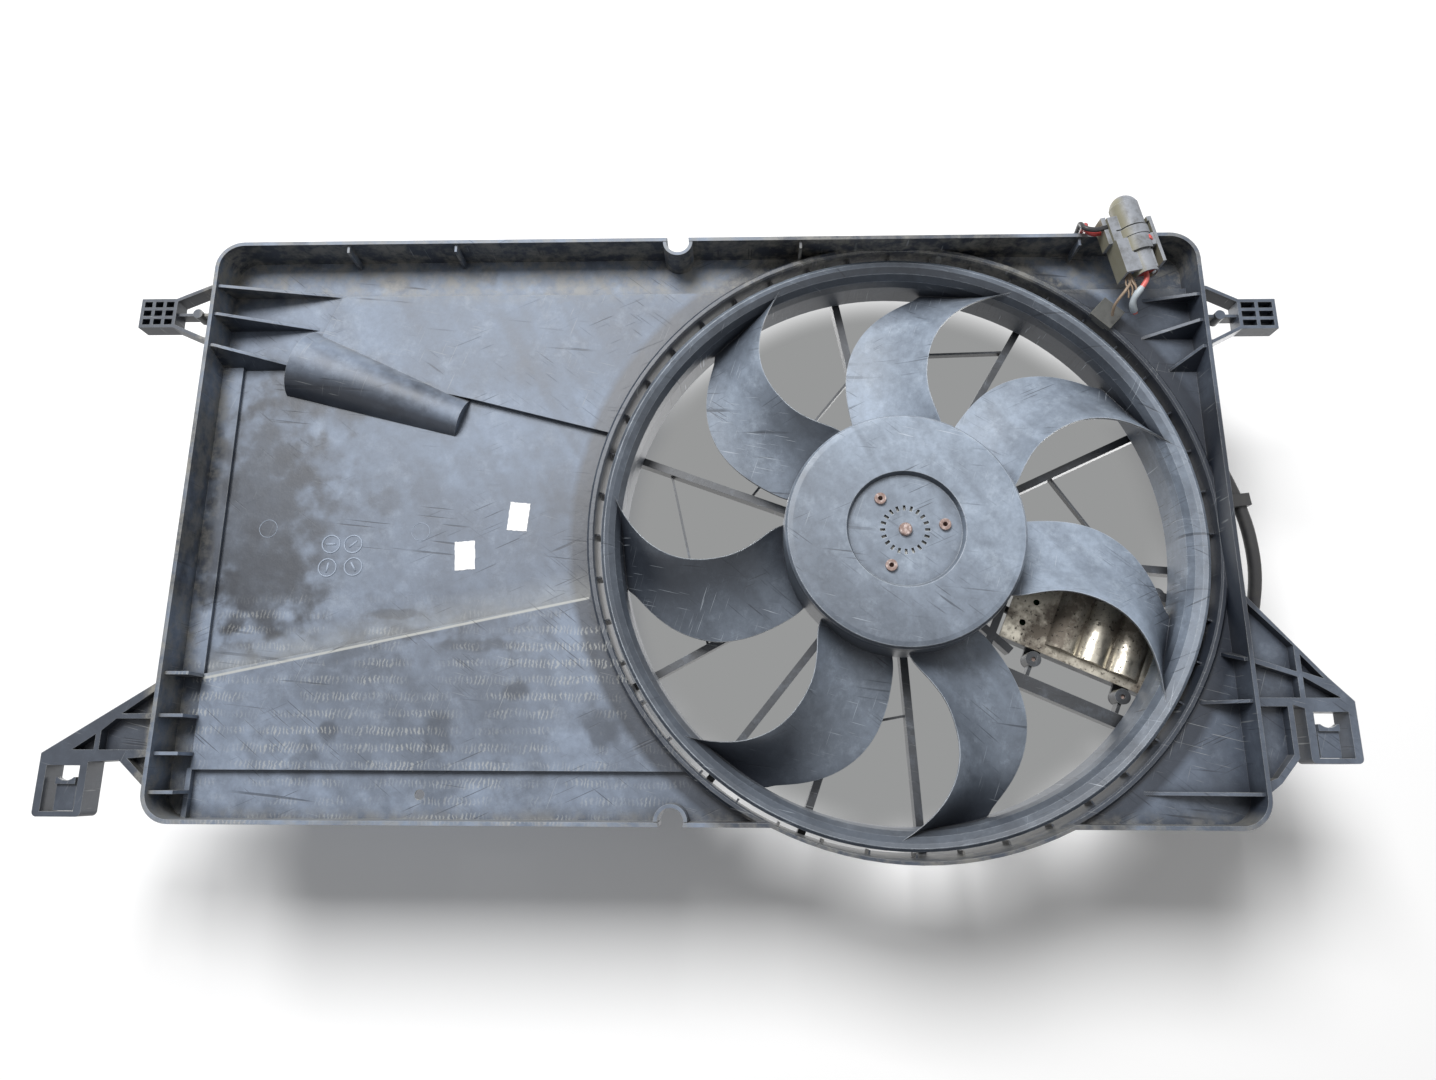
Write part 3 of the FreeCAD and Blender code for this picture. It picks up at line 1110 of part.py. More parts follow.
def motor_bolts():
    """Bolts that hold the motor ears to the carrier."""
    bolts = []
    for index, angle in enumerate(EAR_ANGLES):
        x, z = "ear_circle * cos(%g)" % angle, "ear_circle * sin(%g)" % angle
        head = rod("BoltHead%d" % index, "bolt_head", ("ear_front - bolt_head_height", "ear_front"), x, z)
        shank = rod("BoltShank%d" % index, "bolt_radius", ("ear_front - 1", "carrier_rear - 1"), x, z)
        bolts.append(fuse("Bolt%d" % index, head, shank))
    node("motor_bolts", group("MotorBolts", *bolts))


# Loom, connector and their wires

CONNECTOR_TURN = Rotation(Vector(0, 1, 0), -size("connector_turn"))


def connector_place(item, across, y, up):
    """Bind a place given in the frame of the connector."""
    x = "connector_across + (%s) * cos(connector_turn) - (%s) * sin(connector_turn)" % (across, up)
    z = "connector_up + (%s) * sin(connector_turn) + (%s) * cos(connector_turn)" % (across, up)
    return place(item, x, y, z)


def connector_block(name, across, y, up):
    """Block in the frame of the connector."""
    item = doc.addObject("Part::Box", name)
    item.Placement.Rotation = CONNECTOR_TURN
    bind(item, Length="(%s) - (%s)" % (across[1], across[0]), Width="(%s) - (%s)" % (y[1], y[0]),
         Height="(%s) - (%s)" % (up[1], up[0]))
    return connector_place(item, across[0], y[0], up[0])


def connector_rod(name, radius, across, y, up):
    """Cylinder along the connector."""
    item = doc.addObject("Part::Cylinder", name)
    item.Placement.Rotation = CONNECTOR_TURN
    bind(item, Radius=radius, Height="(%s) - (%s)" % (up[1], up[0]))
    return connector_place(item, across, y, up[0])


CONNECTOR_BACK = "-connector_back"
CONNECTOR_FRONT = "-connector_back - connector_deep"
BARREL_DEPTH = "-connector_back - connector_deep + barrel_radius"
MAIN_CAVITY = "2"
SIDE_CAVITY = "-7.5"
LEVER_FACE = "connector_width / 2 - 0.2"


def barrel_ring(name, radius, bore, up):
    """Ring about the barrel of the connector."""
    core = connector_rod(name + "Core", bore, MAIN_CAVITY, BARREL_DEPTH, (up[0] + " - 1", up[1] + " + 1"))
    return cut(name, connector_rod(name + "Body", radius, MAIN_CAVITY, BARREL_DEPTH, up), core)


def connector():
    """Two halves of the plug, its lock lever, seals and terminals."""
    upper = ("0.2", "24")
    body = connector_block("HousingBody", ("-connector_width / 2", "connector_width / 2 - 3"),
                           (CONNECTOR_FRONT + " + 5", CONNECTOR_BACK), ("0.2", "17"))
    barrel = connector_rod("HousingBarrel", "barrel_radius", MAIN_CAVITY, BARREL_DEPTH, upper)
    collar = connector_rod("HousingCollar", "barrel_radius + 0.8", MAIN_CAVITY, BARREL_DEPTH, ("0.2", "6"))
    dome = doc.addObject("Part::Sphere", "HousingDome")
    bind(dome, Radius="barrel_radius")
    connector_place(dome, MAIN_CAVITY, BARREL_DEPTH, "22")
    rail = connector_block("HousingRail", ("-connector_width / 2 - 2.5", "-connector_width / 2 + 0.5"),
                           (CONNECTOR_FRONT + " + 8", CONNECTOR_BACK), ("0.2", "19"))
    wires = [stub_hole("HousingWire%d" % index, depth) for index, depth in enumerate(("-6", "-11.5"))]
    seam = barrel_ring("Seam", "barrel_radius + 3", "barrel_radius - 0.9", ("6.4", "7.2"))
    housing = cut("Housing", fuse("HousingSolid", body, barrel, collar, dome, rail), seam, *wires)
    node("connector_housing", housing)
    mate = connector_block("MateBody", ("-connector_width / 2", "connector_width / 2 - 1"),
                           (CONNECTOR_FRONT + " + 3", CONNECTOR_BACK), ("-23", "0"))
    sleeve = connector_rod("MateSleeve", "barrel_radius + 0.3", MAIN_CAVITY, BARREL_DEPTH, ("-10", "0"))
    collar = connector_rod("MateCollar", "barrel_radius - 1.6", MAIN_CAVITY, BARREL_DEPTH, ("-25", "0"))
    ring_gap = barrel_ring("RingGap", "barrel_radius - 0.5", "barrel_radius - 1.6", ("-11", "-4"))
    bore = connector_rod("MateBore", "barrel_radius - 2.6", MAIN_CAVITY, BARREL_DEPTH, ("-26", "-12"))
    side_bore = connector_block("SideBore", ("-11", "-4.5"), (CONNECTOR_FRONT + " + 5", "-6"), ("-26", "-12"))
    lever_slot = connector_block("LeverSlot", ("connector_width / 2 - 5", "connector_width / 2"),
                                 (CONNECTOR_FRONT + " + 2", "-5.5"), ("-24", "-8"))
    crimps = [connector_rod("MainCrimpHole", "wire_radius", MAIN_CAVITY, BARREL_DEPTH, ("-13", "-1")),
              connector_rod("SideCrimpHole", "signal_radius", SIDE_CAVITY, "-9.5", ("-13", "-1"))]
    solid = fuse("MateSolid", mate, sleeve, collar)
    node("connector_mate", cut("Mate", solid, ring_gap, bore, side_bore, lever_slot, *crimps))
    seal = connector_rod("MainSeal", "barrel_radius - 2.7", MAIN_CAVITY, BARREL_DEPTH, ("-22.5", "-13"))
    seal_hole = connector_rod("MainSealHole", "wire_radius + 0.1", MAIN_CAVITY, BARREL_DEPTH, ("-23", "-12"))
    node("main_seal", cut("MainSealRing", seal, seal_hole))
    side_seal = connector_rod("SideSealBody", "2.9", SIDE_CAVITY, "-9.5", ("-21", "-13"))
    side_hole = connector_rod("SideSealHole", "signal_radius + 0.1", SIDE_CAVITY, "-9.5", ("-22", "-12"))
    node("side_seal", cut("SideSealRing", side_seal, side_hole))
    node("connector_terminals", group("Terminals",
         connector_rod("MainTerminal", "wire_radius", MAIN_CAVITY, BARREL_DEPTH, ("-22", "-1")),
         connector_rod("SideTerminal", "signal_radius", SIDE_CAVITY, "-9.5", ("-21", "-1"))))
    depth = (CONNECTOR_FRONT + " + 4", "-6")
    arm = connector_block("LeverArm", (LEVER_FACE, LEVER_FACE + " + 2"), depth, ("-20", "12"))
    hook = connector_block("LeverHook", (LEVER_FACE + " - 1", LEVER_FACE + " + 0.1"), depth, ("9", "12"))
    pad = connector_block("LeverPad", (LEVER_FACE + " - 0.5", LEVER_FACE + " + 0.1"), depth, ("-6", "-4"))
    node("lock_lever", fuse("LockLever", arm, hook, pad))


def stub_hole(name, depth):
    """Hole where a wire of the loom enters the connector from the left."""
    item = doc.addObject("Part::Cylinder", name)
    item.Placement.Rotation = CONNECTOR_TURN.multiply(Rotation(Vector(0, 1, 0), 90))
    bind(item, Radius="wire_radius + 0.1", Height="8")
    return connector_place(item, "-connector_width / 2 - 4", depth, "12")


def by_module(along, y, across):
    """Point of a route in the frame of the control module."""
    turn = math.radians(size("module_turn"))
    along = size(along)
    return Vector(size("module_across") + along * math.cos(turn) + across * math.sin(turn), y,
                  -size("module_down") - along * math.sin(turn) + across * math.cos(turn))


def by_ring(x, y, z):
    """Point of a route given in shares of the bore of the fan ring."""
    return Vector(x * size("ring_bore"), y, z * size("ring_bore"))


def by_connector(x, y, z):
    """Point of a route measured from the middle of the joint of the connector."""
    return Vector(size("connector_across") + x, y, size("connector_up") + z)


# Route of the sleeved loom from the control module, round the fan ring, to the top wall
LOOM_ROUTE = [by_module("module_length / 2 + 0.03", 77.5, 8), by_module("module_length / 2 + 22.9", 77.5, 8),
              by_ring(1.1244, 72, -0.3834), by_ring(1.171, 58, -0.2642), by_ring(1.1813, 47, -0.1036),
              by_ring(1.1554, 41, 0.0622), by_ring(1.0933, 38.5, 0.228), by_ring(1.0052, 38, 0.4352),
              by_ring(0.8705, 38, 0.6477), by_ring(0.7409, 38, 0.8135), by_connector(-18, 36, -5.5),
              by_connector(-21.5, 34.5, 10.5)]
# The two supply wires leave the loom, pass over the top wall and enter the connector
RED_ROUTE = [by_connector(*point) for point in (
    (-19.7, 34.6, 10.9), (-20.8, 34.1, 15.8), (-21.4, 28.5, 19.9), (-21.8, 18, 20.4), (-22.4, 6.5, 19.8),
    (-24.4, -2.4, 17.1), (-26.6, -5.8, 11.1), (-22.1, -6, 7.6), (-11.3, -6, 9.9))]
BLACK_ROUTE = [by_connector(*point) for point in (
    (-23.3, 34.4, 10.5), (-24.4, 34, 15.1), (-25.4, 28, 17.2), (-26.4, 17, 16.6), (-27.4, 4, 16.9),
    (-29.4, -6.5, 15.7), (-29, -11.2, 9.1), (-22.1, -11.5, 7.6), (-11.3, -11.5, 9.9))]
# Cut ends of the car harness that still hang from the far half of the connector
POWER_STUB = [by_connector(*point) for point in (
    (6.53, -11.3, -21.1), (7.6, -11.3, -26.1), (3.8, -10.6, -32.1), (-0.6, -7.4, -37.1), (-0.6, -2.2, -41.1),
    (3.2, 3.2, -42.9))]
SIGNAL_STUB = [by_connector(*point) for point in (
    (-2.97, -9.5, -22.1), (-1.9, -9.5, -27.1), (-5.8, -8.8, -33.1), (-9.4, -5.2, -37.3), (-11.2, 0.6, -40.3),
    (-10, 6.6, -43.3))]
CLIP_PLACES = (6.5, 27, 46)
BEND_SHARE = 0.45


def routed(name, points, radius):
    """Round cable along straight runs joined by tangent arcs."""
    edges, here, radii = [], points[0], []
    for before, corner, after in zip(points, points[1:], points[2:]):
        arriving, leaving = corner - before, after - corner
        turn = arriving.getAngle(leaving)
        reach = BEND_SHARE * min(arriving.Length, leaving.Length)
        bend = reach / math.tan(turn / 2)
        arriving.normalize()
        leaving.normalize()
        start, end = corner - arriving * reach, corner + leaving * reach
        inward = leaving - arriving
        inward.normalize()
        middle = corner + inward * (bend / math.cos(turn / 2) - bend)
        edges += [Part.LineSegment(here, start).toShape(), Part.Arc(start, middle, end).toShape()]
        here = end
        radii.append(round(bend, 1))
    edges.append(Part.LineSegment(here, points[-1]).toShape())
    wire = Part.Wire(edges)
    circle = Part.Wire(Part.makeCircle(size(radius), points[0], points[1] - points[0]))
    pipe = wire.makePipe(Part.Face(circle))
    share = pipe.Volume / (math.pi * size(radius) ** 2 * wire.Length)
    print(name, "length", round(wire.Length, 1), "radii", radii, "volume share", round(share, 4))
    return shaped(name, pipe)


def harness():
    """Loom with its clips, supply wires, cut stubs and the anchor on the fan ring."""
    loom = routed("LoomTube", LOOM_ROUTE, "loom_radius")
    node("harness_loom", loom)
    clips = []
    for index, angle in enumerate(CLIP_PLACES):
        clips.append(loom_clip("LoomClip%d" % index, loom, angle))
    node("loom_clips", group("LoomClips", *clips))
    node("red_supply_wire", routed("RedWire", RED_ROUTE, "wire_radius"))
    node("black_supply_wire", routed("BlackWire", BLACK_ROUTE, "wire_radius"))
    node("power_stub", routed("PowerStub", POWER_STUB, "wire_radius"))
    node("signal_stub", routed("SignalStub", SIGNAL_STUB, "signal_radius"))
    pad = spoke("AnchorPad", ("ring_bore - 1.2", "ring_bore + 14"), ("ring_front - 4", "ring_front"),
                "anchor_width", size("anchor_angle"))
    leg = spoke("AnchorLeg", ("ring_bore + ring_bead + 0.2", "ring_bore + 14"),
                ("ring_front - 1", "right_depth"), "anchor_width", size("anchor_angle"))
    lip = spoke("AnchorLip", ("ring_bore - 1.2", "ring_bore - 0.1"), ("ring_front - 1", "ring_front + 2"),
                "anchor_width * 0.6", size("anchor_angle"))
    node("harness_anchor", fuse("HarnessAnchor", pad, leg, lip))


def loom_clip(name, loom, angle):
    """Clip on the fan ring that closes round the loom at an angle about the fan axis."""
    direction = Vector(math.cos(math.radians(angle)), 0, math.sin(math.radians(angle)))
    far, deep = size("2 * ring_bore"), size("3 * ring_rear")
    across = Part.makePlane(far, deep, Vector(0, -deep / 4, 0), direction.cross(Vector(0, 1, 0)), direction)
    crossing = loom.Shape.common(across)
    middle = crossing.BoundBox.Center
    distance = math.hypot(middle.x, middle.z)
    depth, reach = str(middle.y), str(distance)
    barrel = spoke(name + "Body",
                   (reach + " - loom_radius - clip_wall", reach + " + loom_radius + clip_wall"),
                   (depth + " - loom_radius - clip_wall", depth + " + loom_radius + clip_wall"),
                   "clip_width", angle)
    foot = spoke(name + "Foot", ("ring_bore + ring_wall", reach + " - loom_radius - 0.5"),
                 (depth + " - 3", depth + " + 3"), "clip_width", angle)
    return cut(name, fuse(name + "Solid", barrel, foot), loom)


def write_parts():
    """Check every object, then write each sub-part to its own file."""
    doc.recompute()
    for item in doc.Objects:
        if "Invalid" in item.State or "Error" in item.State:
            raise RuntimeError("object failed: " + item.Name)
    os.makedirs("parts", exist_ok=True)
    for name, item in NODES.items():
        if item.Shape.isNull() or not item.Shape.isValid():
            raise RuntimeError("shape is not valid: " + name)
        item.Shape.exportStep("parts/%s.step" % name)


shroud()
latch_tongue("left_latch", "-left_lug_out", "left_lug_top")
latch_tongue("right_latch", "right_lug_out", "right_lug_top")
impeller()
hub_fastening()
motor()
motor_bolts()
carrier()
control_module()
connector()
harness()
write_parts()
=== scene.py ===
"""Looks of a radiator fan with its shroud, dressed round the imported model.

Every place is in metres in the model's own frame: X to the right, Z up and Y away from the
radiator, towards the engine. The fan lies on its back on a white table top, behind it in Y.
"""

import logging
import math
import random
from dataclasses import dataclass
from enum import Enum
from functools import partial
from typing import Any

import bpy
from mathutils import Matrix, Quaternion, Vector


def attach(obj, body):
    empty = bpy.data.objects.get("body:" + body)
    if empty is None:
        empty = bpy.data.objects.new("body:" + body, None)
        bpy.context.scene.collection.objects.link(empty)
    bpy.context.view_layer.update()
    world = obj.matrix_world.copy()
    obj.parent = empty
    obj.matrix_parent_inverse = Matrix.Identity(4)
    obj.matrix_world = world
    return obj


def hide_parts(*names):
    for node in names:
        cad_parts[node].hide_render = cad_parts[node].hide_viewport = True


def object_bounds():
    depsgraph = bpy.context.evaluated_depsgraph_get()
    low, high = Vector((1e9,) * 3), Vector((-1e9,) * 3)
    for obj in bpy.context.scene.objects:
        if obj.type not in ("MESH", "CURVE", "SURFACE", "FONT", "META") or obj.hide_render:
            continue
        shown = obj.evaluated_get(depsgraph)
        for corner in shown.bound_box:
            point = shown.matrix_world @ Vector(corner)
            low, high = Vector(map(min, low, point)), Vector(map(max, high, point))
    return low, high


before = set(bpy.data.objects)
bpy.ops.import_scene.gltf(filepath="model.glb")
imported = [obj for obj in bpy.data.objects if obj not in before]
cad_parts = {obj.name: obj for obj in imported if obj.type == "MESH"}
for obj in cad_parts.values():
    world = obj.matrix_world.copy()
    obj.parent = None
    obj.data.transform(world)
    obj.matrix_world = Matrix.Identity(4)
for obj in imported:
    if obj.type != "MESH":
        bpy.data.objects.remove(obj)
CAD_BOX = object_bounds()

MM = 0.001
BODY = "shroud_body"
log = logging.getLogger("radiator_fan")

Colour = tuple[float, float, float, float]
Point = tuple[float, float, float]
Tree = bpy.types.NodeTree
Node = bpy.types.Node
Socket = bpy.types.NodeSocket
Piece = bpy.types.Object


class Lie(Enum):
    """Which way the marks of a worn surface run."""

    LEVEL = (0.12, 1.0, 1.0)
    ANY = (1.0, 1.0, 1.0)


def linear(code: str) -> Colour:
    """Turn an sRGB hex colour into linear light.

    Args:
        code: six hex digits, such as "8b94a2".

    Returns:
        Red, green, blue and a full alpha, all linear.
    """
    parts = []
    for start in (0, 2, 4):
        value = int(code[start:start + 2], 16) / 255
        parts.append(value / 12.92 if value <= 0.04045 else ((value + 0.055) / 1.055) ** 2.4)
    return (parts[0], parts[1], parts[2], 1.0)


def per_metre(spacing: float) -> float:
    """Texture scale whose pattern repeats about every spacing, in millimetres."""
    return 1 / (spacing * MM)


def metres(lengths: tuple[float, ...]) -> tuple[float, ...]:
    """Turn lengths in millimetres into metres."""
    return tuple(length * MM for length in lengths)


def feed(tree: Tree, node: Node, inputs: dict[Any, Any]) -> None:
    """Set or link the inputs of a node.

    Args:
        tree: node tree that holds the node.
        node: node that gets them.
        inputs: for each input, by name or number, a value, an output socket, or a node whose first
            output is meant.
    """
    for key, value in inputs.items():
        if isinstance(value, Node):
            value = value.outputs[0]
        if isinstance(value, Socket):
            tree.links.new(value, node.inputs[key])
        else:
            node.inputs[key].default_value = value


def add_node(tree: Tree, kind: str, inputs: dict[Any, Any] | None = None, **settings: Any) -> Node:
    """Add one shader node.

    Args:
        tree: node tree that gets the node.
        kind: type of the node, without its "ShaderNode" start.
        inputs: what feeds each input.
        settings: properties of the node.

    Returns:
        The new node.
    """
    made = tree.nodes.new("ShaderNode" + kind)
    for name, value in settings.items():
        setattr(made, name, value)
    feed(tree, made, inputs or {})
    return made


def new_mesh(name: str, points: list[Point], faces: list[tuple[int, ...]]) -> Piece:
    """Make a smooth shaded mesh object in the scene.

    Args:
        name: name of the piece.
        points: corners in metres.
        faces: corner numbers of each face.

    Returns:
        The new object.
    """
    mesh = bpy.data.meshes.new(name)
    mesh.from_pydata(points, [], faces)
    mesh.validate()
    mesh.shade_smooth()
    piece = bpy.data.objects.new(name, mesh)
    bpy.context.scene.collection.objects.link(piece)
    return piece


def turned(name: str, profile: list[tuple[float, float]], steps: int, place: Matrix) -> Piece:
    """Make a closed ring shaped piece by turning a closed profile about an axis.

    Args:
        name: name of the piece.
        profile: distance from the axis and height along it of each corner, in order.
        steps: number of copies of the profile round the axis.
        place: matrix that puts the axis, local Z, where it belongs.

    Returns:
        The new object.
    """
    points, faces, count = [], [], len(profile)
    for step in range(steps):
        angle = math.tau * step / steps
        for radius, height in profile:
            points.append(place @ Vector((radius * math.cos(angle), radius * math.sin(angle), height)))
        for corner in range(count):
            beside = (corner + 1) % count
            following = (step + 1) % steps
            faces.append((step * count + corner, step * count + beside,
                          following * count + beside, following * count + corner))
    return new_mesh(name, points, faces)


def tube(name: str, path: list[Vector], radii: list[float], sides: int) -> Piece:
    """Make a capped round tube along a path.

    Args:
        name: name of the piece.
        path: middle of each ring of corners.
        radii: radius of each ring.
        sides: corners of each ring.

    Returns:
        The new object.
    """
    points, faces = [], []
    along = (path[1] - path[0]).normalized()
    side = along.orthogonal().normalized()
    for number, (middle, radius) in enumerate(zip(path, radii)):
        ahead = path[min(number + 1, len(path) - 1)]
        behind = path[max(number - 1, 0)]
        if (ahead - behind).length > 0:
            along = (ahead - behind).normalized()
        side = (side - along * side.dot(along)).normalized()
        other = along.cross(side)
        for corner in range(sides):
            angle = math.tau * corner / sides
            points.append(middle + radius * (side * math.cos(angle) + other * math.sin(angle)))
    for number in range(len(path) - 1):
        for corner in range(sides):
            beside = (corner + 1) % sides
            faces.append((number * sides + corner, number * sides + beside,
                          (number + 1) * sides + beside, (number + 1) * sides + corner))
    faces.append(tuple(reversed(range(sides))))
    faces.append(tuple(range((len(path) - 1) * sides, len(path) * sides)))
    return new_mesh(name, points, faces)


def smooth_line(name: str, points: list[Point], radius: float = 0.0) -> Piece:
    """Lay one smooth open spline along given points.

    Args:
        name: name of the piece.
        points: control points in millimetres.
        radius: half the thickness of the cord, in metres.

    Returns:
        The curve object.
    """
    curve = bpy.data.curves.new(name, "CURVE")
    curve.dimensions = "3D"
    curve.resolution_u = 12
    curve.bevel_depth = radius
    curve.bevel_resolution = 6
    curve.use_fill_caps = True
    spline = curve.splines.new("NURBS")
    spline.points.add(len(points) - 1)
    for knot, (x, y, z) in zip(spline.points, points):
        knot.co = (x * MM, y * MM, z * MM, 1)
    spline.order_u = 3
    spline.use_endpoint_u = True
    piece = bpy.data.objects.new(name, curve)
    bpy.context.scene.collection.objects.link(piece)
    return piece


def followed(points: list[Point]) -> list[Vector]:
    """Read the places that a smooth spline runs through.

    Args:
        points: control points in millimetres.

    Returns:
        Places along the spline, in metres, in order.
    """
    guide = smooth_line("guide", points)
    mesh = bpy.data.meshes.new_from_object(guide)
    places = [vertex.co.copy() for vertex in mesh.vertices]
    bpy.data.meshes.remove(mesh)
    curve = guide.data
    bpy.data.objects.remove(guide)
    bpy.data.curves.remove(curve)
    return places


def surface_at(node: str, x: float, z: float) -> Matrix:
    """Find the front surface of a node at a place seen from the radiator.

    Args:
        node: name of the node.
        x: metres to the right of the fan axis.
        z: metres above the fan axis.

    Returns:
        A matrix on the surface whose Z axis leaves it and whose Y axis points up.
    """
    start = Vector((x, -0.2, z))
    found, place, normal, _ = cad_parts[node].ray_cast(start, Vector((0, 1, 0)))
    if not found:
        raise ValueError(f"{node} has no surface at {x}, {z}")
    if normal.y > 0:
        normal = -normal
    right = Vector((0, 0, 1)).cross(normal).normalized()
    up = normal.cross(right)
    turn = Matrix((right, up, normal)).transposed().to_4x4()
    return Matrix.Translation(place) @ turn


@dataclass(frozen=True)
class Ramp:
    """A share that runs from low, where a value is at start, to high, where it is at end."""

    value: Any
    start: float
    end: float
    low: float = 0.0
    high: float = 1.0


class Surface:
    """What the patterns of a material start from: its nodes, and the place and facing on the object."""

    def __init__(self, tree: Tree) -> None:
        """Read place and facing in the object's own frame, each split along the axes."""
        self.add = partial(add_node, tree)
        place = self.add("TexCoord")
        self.spot: Socket = place.outputs["Object"]
        self.across = self.add("SeparateXYZ", {"Vector": self.spot}).outputs
        self.facing = self.add("SeparateXYZ", {"Vector": place.outputs["Normal"]}).outputs

    def faded(self, share: Any, *ramps: Ramp) -> Node:
        """Multiply a share by ramps.

        Args:
            share: number, socket or node to start from.
            ramps: what it is multiplied by.

        Returns:
            Share after all the ramps.
        """
        for ramp in ramps:
            part = self.add("MapRange", {"Value": ramp.value, "From Min": ramp.start,
                                         "From Max": ramp.end, "To Min": ramp.low, "To Max": ramp.high})
            share = self.add("Math", {0: share, 1: part}, operation="MULTIPLY")
        return share

    def tinted(self, colour: Any, *layers: tuple[Any, str]) -> Any:
        """Lay tints over a colour.

        Args:
            colour: colour so far.
            layers: share and hex colour of each tint, from the lowest up.

        Returns:
            Colour with the tints.
        """
        for share, tint in layers:
            colour = self.add("MixRGB", {"Fac": share, "Color1": colour, "Color2": linear(tint)})
        return colour

    def open_air(self, reach: float) -> Socket:
        """Tell how open a place is within a reach in millimetres: 0 in a crease, 1 in the open."""
        return self.add("AmbientOcclusion", {"Distance": reach * MM}, samples=6,
                        only_local=True).outputs["AO"]

    def flatness(self, rounded: Node) -> Socket:
        """Compare the rounded normal with the true one: 1 on a flat, less on an edge."""
        true_face = self.add("NewGeometry").outputs["Normal"]
        same = self.add("VectorMath", {0: rounded, 1: true_face}, operation="DOT_PRODUCT")
        return same.outputs["Value"]


@dataclass(frozen=True)
class Finish:
    """One real material and the way its surface was made."""

    name: str
    colour: str
    roughness: float = 0.5
    metallic: float = 0.0
    ior: float = 1.5
    edge_radius: float = 0.4

    def make(self) -> bpy.types.Material:
        """Build the material.

        Returns:
            A node based material.
        """
        material = bpy.data.materials.new(self.name)
        material.use_nodes = True
        tree = material.node_tree
        look = {"Base Color": linear(self.colour), "Roughness": self.roughness,
                "Metallic": self.metallic}
        if self.metallic < 0.5:
            look["IOR"] = self.ior
        look.update(self.paint(Surface(tree)))
        feed(tree, tree.nodes["Principled BSDF"], look)
        return material

    def paint(self, at: Surface) -> dict[str, Any]:
        """Make this finish's own pattern and return the shader inputs that it feeds."""
        return {}

    def rounded(self, at: Surface) -> Node:
        """Add the normal of slightly rounded edges, as every moulded or pressed edge has."""
        return at.add("Bevel", {"Radius": self.edge_radius * MM}, samples=4)

    def dress(self, *pieces: Piece) -> None:
        """Give pieces this finish.

        Args:
            pieces: objects that get it in every material slot.
        """
        material = bpy.data.materials.get(self.name) or self.make()
        for piece in pieces:
            if not piece.material_slots:
                piece.data.materials.append(material)
            for slot in piece.material_slots:
                slot.material = material


@dataclass(frozen=True)
class Smudge:
    """A dark wiped or wetted spot on the weathered bloom, in millimetres."""

    x: float
    z: float
    width: float
    height: float
    strength: float = 0.8


@dataclass(frozen=True)
class Streak:
    """Thin scratches that all lie one way: their slope in degrees, and their size in millimetres."""

    slope: float
    length: float
    width: float
    rare: float = 0.66


@dataclass(frozen=True)
class DustZone:
    """A strip by a wall whose dust grows from one place to another, in millimetres along an axis."""

    axis: str
    start: float
    end: float
    strength: float


